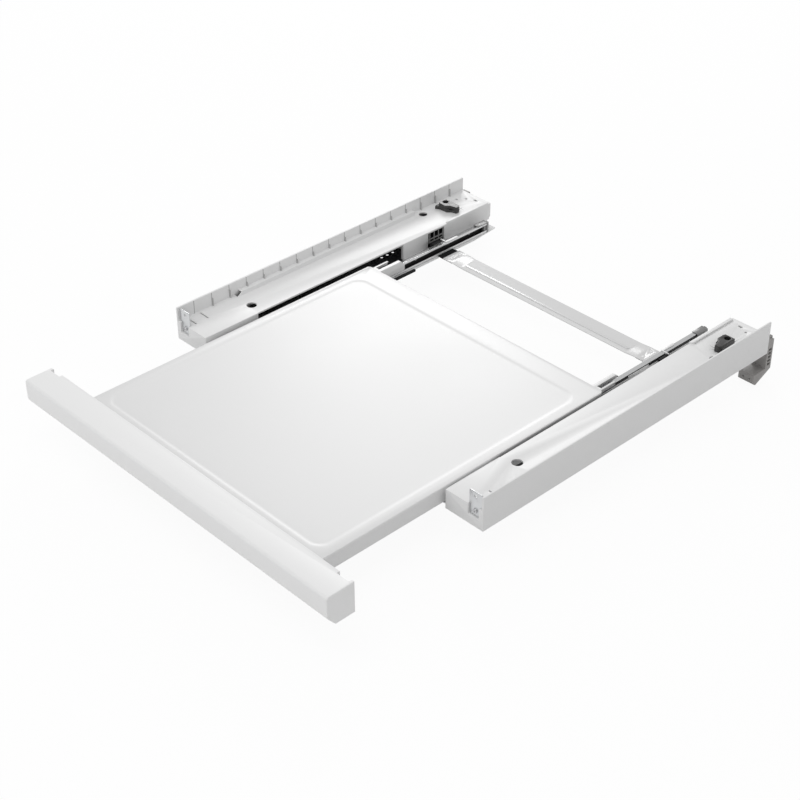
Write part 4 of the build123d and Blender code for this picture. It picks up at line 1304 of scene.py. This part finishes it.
@dataclass
class Rails:
    """Both rails: housings, bases, front tabs and rear hooks.

    Attributes:
        plastic: White plastic of the housings.
        sheet: White coat of the bases.
        zinc: Zinc plate of the tabs.
        grey: Warm grey plastic of the hooks.
        housing_edge: Edge break of the housings.
        base_edge: Edge break of the bases.
        tab_edge: Edge break of the tabs.
        hook_edge: Edge break of the hooks.
    """

    plastic: bpy.types.Material
    sheet: bpy.types.Material
    zinc: bpy.types.Material
    grey: bpy.types.Material
    housing_edge: EdgeBreak = EdgeBreak(0.28 * MM)
    base_edge: EdgeBreak = EdgeBreak(0.15 * MM)
    tab_edge: EdgeBreak = EdgeBreak(0.2 * MM)
    hook_edge: EdgeBreak = EdgeBreak(0.35 * MM, segments=3)

    def build(self) -> None:
        """Builds both rails' pieces."""
        dress_pairs(
            ("rail_housing", "rail", self.housing_edge, self.plastic),
            ("rail_base", "base_plate", self.base_edge, self.sheet),
            ("front_tab", "tab", self.tab_edge, self.zinc),
            ("rear_hook", "hook", self.hook_edge, self.grey),
        )


@dataclass
class Slides:
    """Both ball slides with their cages and end caps.

    Attributes:
        channel: Finish of the fixed members.
        zinc: Finish of the moving members and the cages.
        cap: Plastic of the end caps.
        channel_edge: Edge break of both members.
        cage_edge: Edge break of the cages.
        cap_edge: Edge break of the caps.
    """

    channel: bpy.types.Material
    zinc: bpy.types.Material
    cap: bpy.types.Material
    channel_edge: EdgeBreak = EdgeBreak(0.2 * MM)
    cage_edge: EdgeBreak = EdgeBreak(0.06 * MM, segments=1)
    cap_edge: EdgeBreak = EdgeBreak(0.25 * MM)

    def build(self) -> None:
        """Builds both slides' pieces."""
        dress_pairs(
            ("slide_outer", "fixed_channel", self.channel_edge, self.channel),
            ("slide_inner", "moving_channel", self.channel_edge, self.zinc),
            ("ball_cage", "cage_strip", self.cage_edge, self.zinc),
            ("slide_end_cap", "channel_cap", self.cap_edge, self.cap),
        )


@dataclass
class Shelf:
    """The pull-out shelf: panel, brackets, keeper arms and front bar.

    Attributes:
        coat: White coat of panel and brackets.
        plastic: White plastic of the bar.
        black: Black plastic of the keeper arms.
        tray_edge: Rounding of the tray's shallow pressed edges.
        sheet_edge: Edge break of panel and brackets.
        bar_edge: Edge break of the bar.
        keeper_edge: Edge break of the keeper arms.
    """

    coat: bpy.types.Material
    plastic: bpy.types.Material
    black: bpy.types.Material
    tray_edge: EdgeBreak = EdgeBreak(
        1.9 * MM, segments=4, sharper_than=4.0, blunter_than=24.0, rise=0.01 * MM
    )
    sheet_edge: EdgeBreak = EdgeBreak(0.2 * MM)
    bar_edge: EdgeBreak = EdgeBreak(0.35 * MM, segments=3)
    keeper_edge: EdgeBreak = EdgeBreak(0.4 * MM, segments=3)

    def build(self) -> None:
        """Builds the shelf's pieces."""
        Moulding("shelf_panel", "shelf", [self.tray_edge, self.sheet_edge]).build(self.coat)
        Moulding("front_bar", "handle_bar", [self.bar_edge]).build(self.plastic)
        dress_pairs(
            ("shelf_bracket", "bracket", self.sheet_edge, self.coat),
            ("keeper_arm", "keeper", self.keeper_edge, self.black),
        )


@dataclass
class CrossBar:
    """The rear cross bar and its plastic ends.

    Attributes:
        coat: White coat of the bar.
        black: Plastic of the ends.
        strip_edge: Edge break of the bar.
        end_edge: Edge break of the ends.
    """

    coat: bpy.types.Material
    black: bpy.types.Material
    strip_edge: EdgeBreak = EdgeBreak(0.25 * MM)
    end_edge: EdgeBreak = EdgeBreak(0.2 * MM)

    def build(self) -> None:
        """Builds the bar and both ends."""
        Moulding("rear_cross_bar", "cross_strip", [self.strip_edge]).build(self.coat)
        dress_pairs(("cross_bar_end", "strip_end", self.end_edge, self.black))


@dataclass
class Clamps:
    """The two swivelling foot clamps.

    Attributes:
        dark: Their dark plastic.
        lever_edge: Their edge break.
    """

    dark: bpy.types.Material
    lever_edge: EdgeBreak = EdgeBreak(0.4 * MM, segments=3)

    def build(self) -> None:
        """Builds both levers."""
        dress_pairs(("foot_clamp", "lever", self.lever_edge, self.dark))


# Studio


@dataclass(frozen=True)
class Lamp:
    """Attributes:
        name: The lamp's name.
        elevation: Height above the horizon in degrees.
        size: Side of the lamp.
        radiance: Brightness of its face, where white paper in plain light is one.
    """

    name: str
    azimuth: float
    elevation: float
    distance: float
    size: float
    radiance: float

    def place(self) -> Vector:
        """Where the lamp hangs.

        Returns:
            Its place from the point that it looks at.
        """
        azimuth, elevation = math.radians(self.azimuth), math.radians(self.elevation)
        level = math.cos(elevation)
        upward = math.sin(elevation)
        across = Vector((level * math.cos(azimuth), level * math.sin(azimuth), upward))
        return self.distance * across

    def hang(self, aim: Vector) -> None:
        """Hangs the lamp.

        Args:
            aim: The point that it looks at.
        """
        data = bpy.data.lights.new(self.name, "AREA")
        data.shape = "SQUARE"
        data.size = self.size
        data.energy = self.radiance * math.pi * self.size**2
        lamp = link_object(self.name, data)
        lamp.location = aim + self.place()
        lamp.rotation_euler = (-self.place()).to_track_quat("-Z", "Y").to_euler()
        lamp.visible_camera = False


@dataclass
class Studio:
    """Floor, lamps, surroundings and camera.

    Attributes:
        floor_height: Height of the floor.
        floor_size: Side of the floor.
        floor_colour: Linear colour of the floor.
        floor_glow: Share of the floor's white glow that the camera sees.
        glow: Strength of that glow, where one is white.
        ambient: Strength of the plain light from all round.
        lens: Focal length in millimetres.
        sensor: Width of the picture in millimetres.
        clip: Nearest and farthest distance that the camera sees.
        camera_place: Where the camera stands.
        camera_right: Direction of the picture's right side.
        aim: Point that the lamps look at.
        lamps: The soft lamps.
    """

    floor_height: float = -0.0452
    floor_size: float = 12.0
    floor_colour: tuple[float, float, float, float] = (0.80, 0.80, 0.80, 1.0)
    floor_glow: float = 0.93
    glow: float = 1.01
    ambient: float = 0.60
    lens: float = 76.545
    sensor: float = 36.0
    clip: Span = (0.05, 60.0)
    camera_place: tuple[float, float, float] = (1.3908, -1.6049, 1.2967)
    camera_backward: tuple[float, float, float] = (0.5983, -0.5634, 0.5695)
    camera_right: tuple[float, float, float] = (0.688, 0.7257, -0.0049)
    aim: tuple[float, float, float] = (0.0, -0.2, 0.0)
    lamps: tuple[Lamp, ...] = (
        Lamp("lamp_above", azimuth=-90.0, elevation=70.0, distance=3.2, size=2.4, radiance=1.35),
        Lamp("lamp_rear_left", azimuth=136.0, elevation=27.0, distance=3.4, size=1.1, radiance=7.5),
        Lamp("lamp_front", azimuth=-100.0, elevation=18.0, distance=3.4, size=1.8, radiance=0.9),
    )

    def camera(self) -> None:
        """Sets the camera to the photograph's view."""
        data = bpy.data.cameras.new("camera")
        data.lens = self.lens
        data.sensor_width = self.sensor
        data.clip_start, data.clip_end = self.clip
        backward = Vector(self.camera_backward).normalized()
        right = Vector(self.camera_right)
        right = (right - right.dot(backward) * backward).normalized()
        turn = Matrix((right, backward.cross(right), backward)).transposed().to_4x4()
        camera = link_object("camera", data)
        camera.matrix_world = Matrix.Translation(self.camera_place) @ turn
        bpy.context.scene.camera = camera

    def floor(self) -> None:
        """Lays the pale floor, which the camera and reflections see almost white."""
        recipe = Recipe("floor_white")
        rays = recipe.node("ShaderNodeLightPath")
        camera_or_glossy = recipe.out(rays, "Is Camera Ray") + recipe.out(rays, "Is Glossy Ray")
        seen = camera_or_glossy + recipe.out(rays, "Is Transmission Ray")
        plain = recipe.node("ShaderNodeBsdfDiffuse", Color=self.floor_colour)
        glow = recipe.node("ShaderNodeEmission", Color=WHITE, Strength=self.glow)
        blend = recipe.node("ShaderNodeMixShader", Fac=seen * self.floor_glow)
        recipe.feed(blend.inputs[1], plain.outputs[0])
        recipe.feed(blend.inputs[2], glow.outputs[0])
        recipe.feed(recipe.surface_in, blend.outputs[0])
        half = self.floor_size / 2
        mesh = bmesh.new()
        corners = ((-half, -half), (half, -half), (half, half), (-half, half))
        mesh.faces.new([mesh.verts.new((x, y, self.floor_height)) for x, y in corners])
        new_piece("floor", mesh, recipe.material)

    def surroundings(self) -> None:
        """Sets the plain light from all round, which the camera sees as white."""
        world = bpy.data.worlds.new("surroundings")
        world.use_nodes = True
        world.node_tree.nodes.clear()
        nodes = Nodes(world.node_tree)
        seen = nodes.out(nodes.node("ShaderNodeLightPath"), "Is Camera Ray")
        strength = seen * (1.0 - self.ambient) + self.ambient
        light = nodes.node("ShaderNodeBackground", Color=WHITE, Strength=strength)
        nodes.node("ShaderNodeOutputWorld", Surface=light.outputs[0])
        bpy.context.scene.world = world

    def build(self) -> None:
        """Sets the whole studio."""
        self.camera()
        self.floor()
        self.surroundings()
        for lamp in self.lamps:
            lamp.hang(Vector(self.aim))
        bpy.context.scene.view_settings.view_transform = "Standard"


def main() -> None:
    """Builds every sub-assembly in order."""
    logging.basicConfig(level=logging.INFO, format="%(name)s: %(message)s")
    finishes = Finishes()
    Studio().build()
    rail_white = finishes.rail.make()
    coat = finishes.sheet.make()
    zinc = finishes.zinc.make()
    Rails(rail_white, finishes.plate.make(), zinc, finishes.hook.make()).build()
    Slides(finishes.slide.make(), zinc, finishes.cap.make()).build()
    BallTrains(finishes.ball.make()).build()
    Shelf(coat, finishes.bar.make(), finishes.keeper.make()).build()
    CrossBar(finishes.strip.make(), finishes.black.make()).build()
    Clamps(finishes.clamp.make()).build()
    Fasteners(finishes.fastener.make(), finishes.pivot.make(), coat).build()


if __name__ == "__main__":
    main()
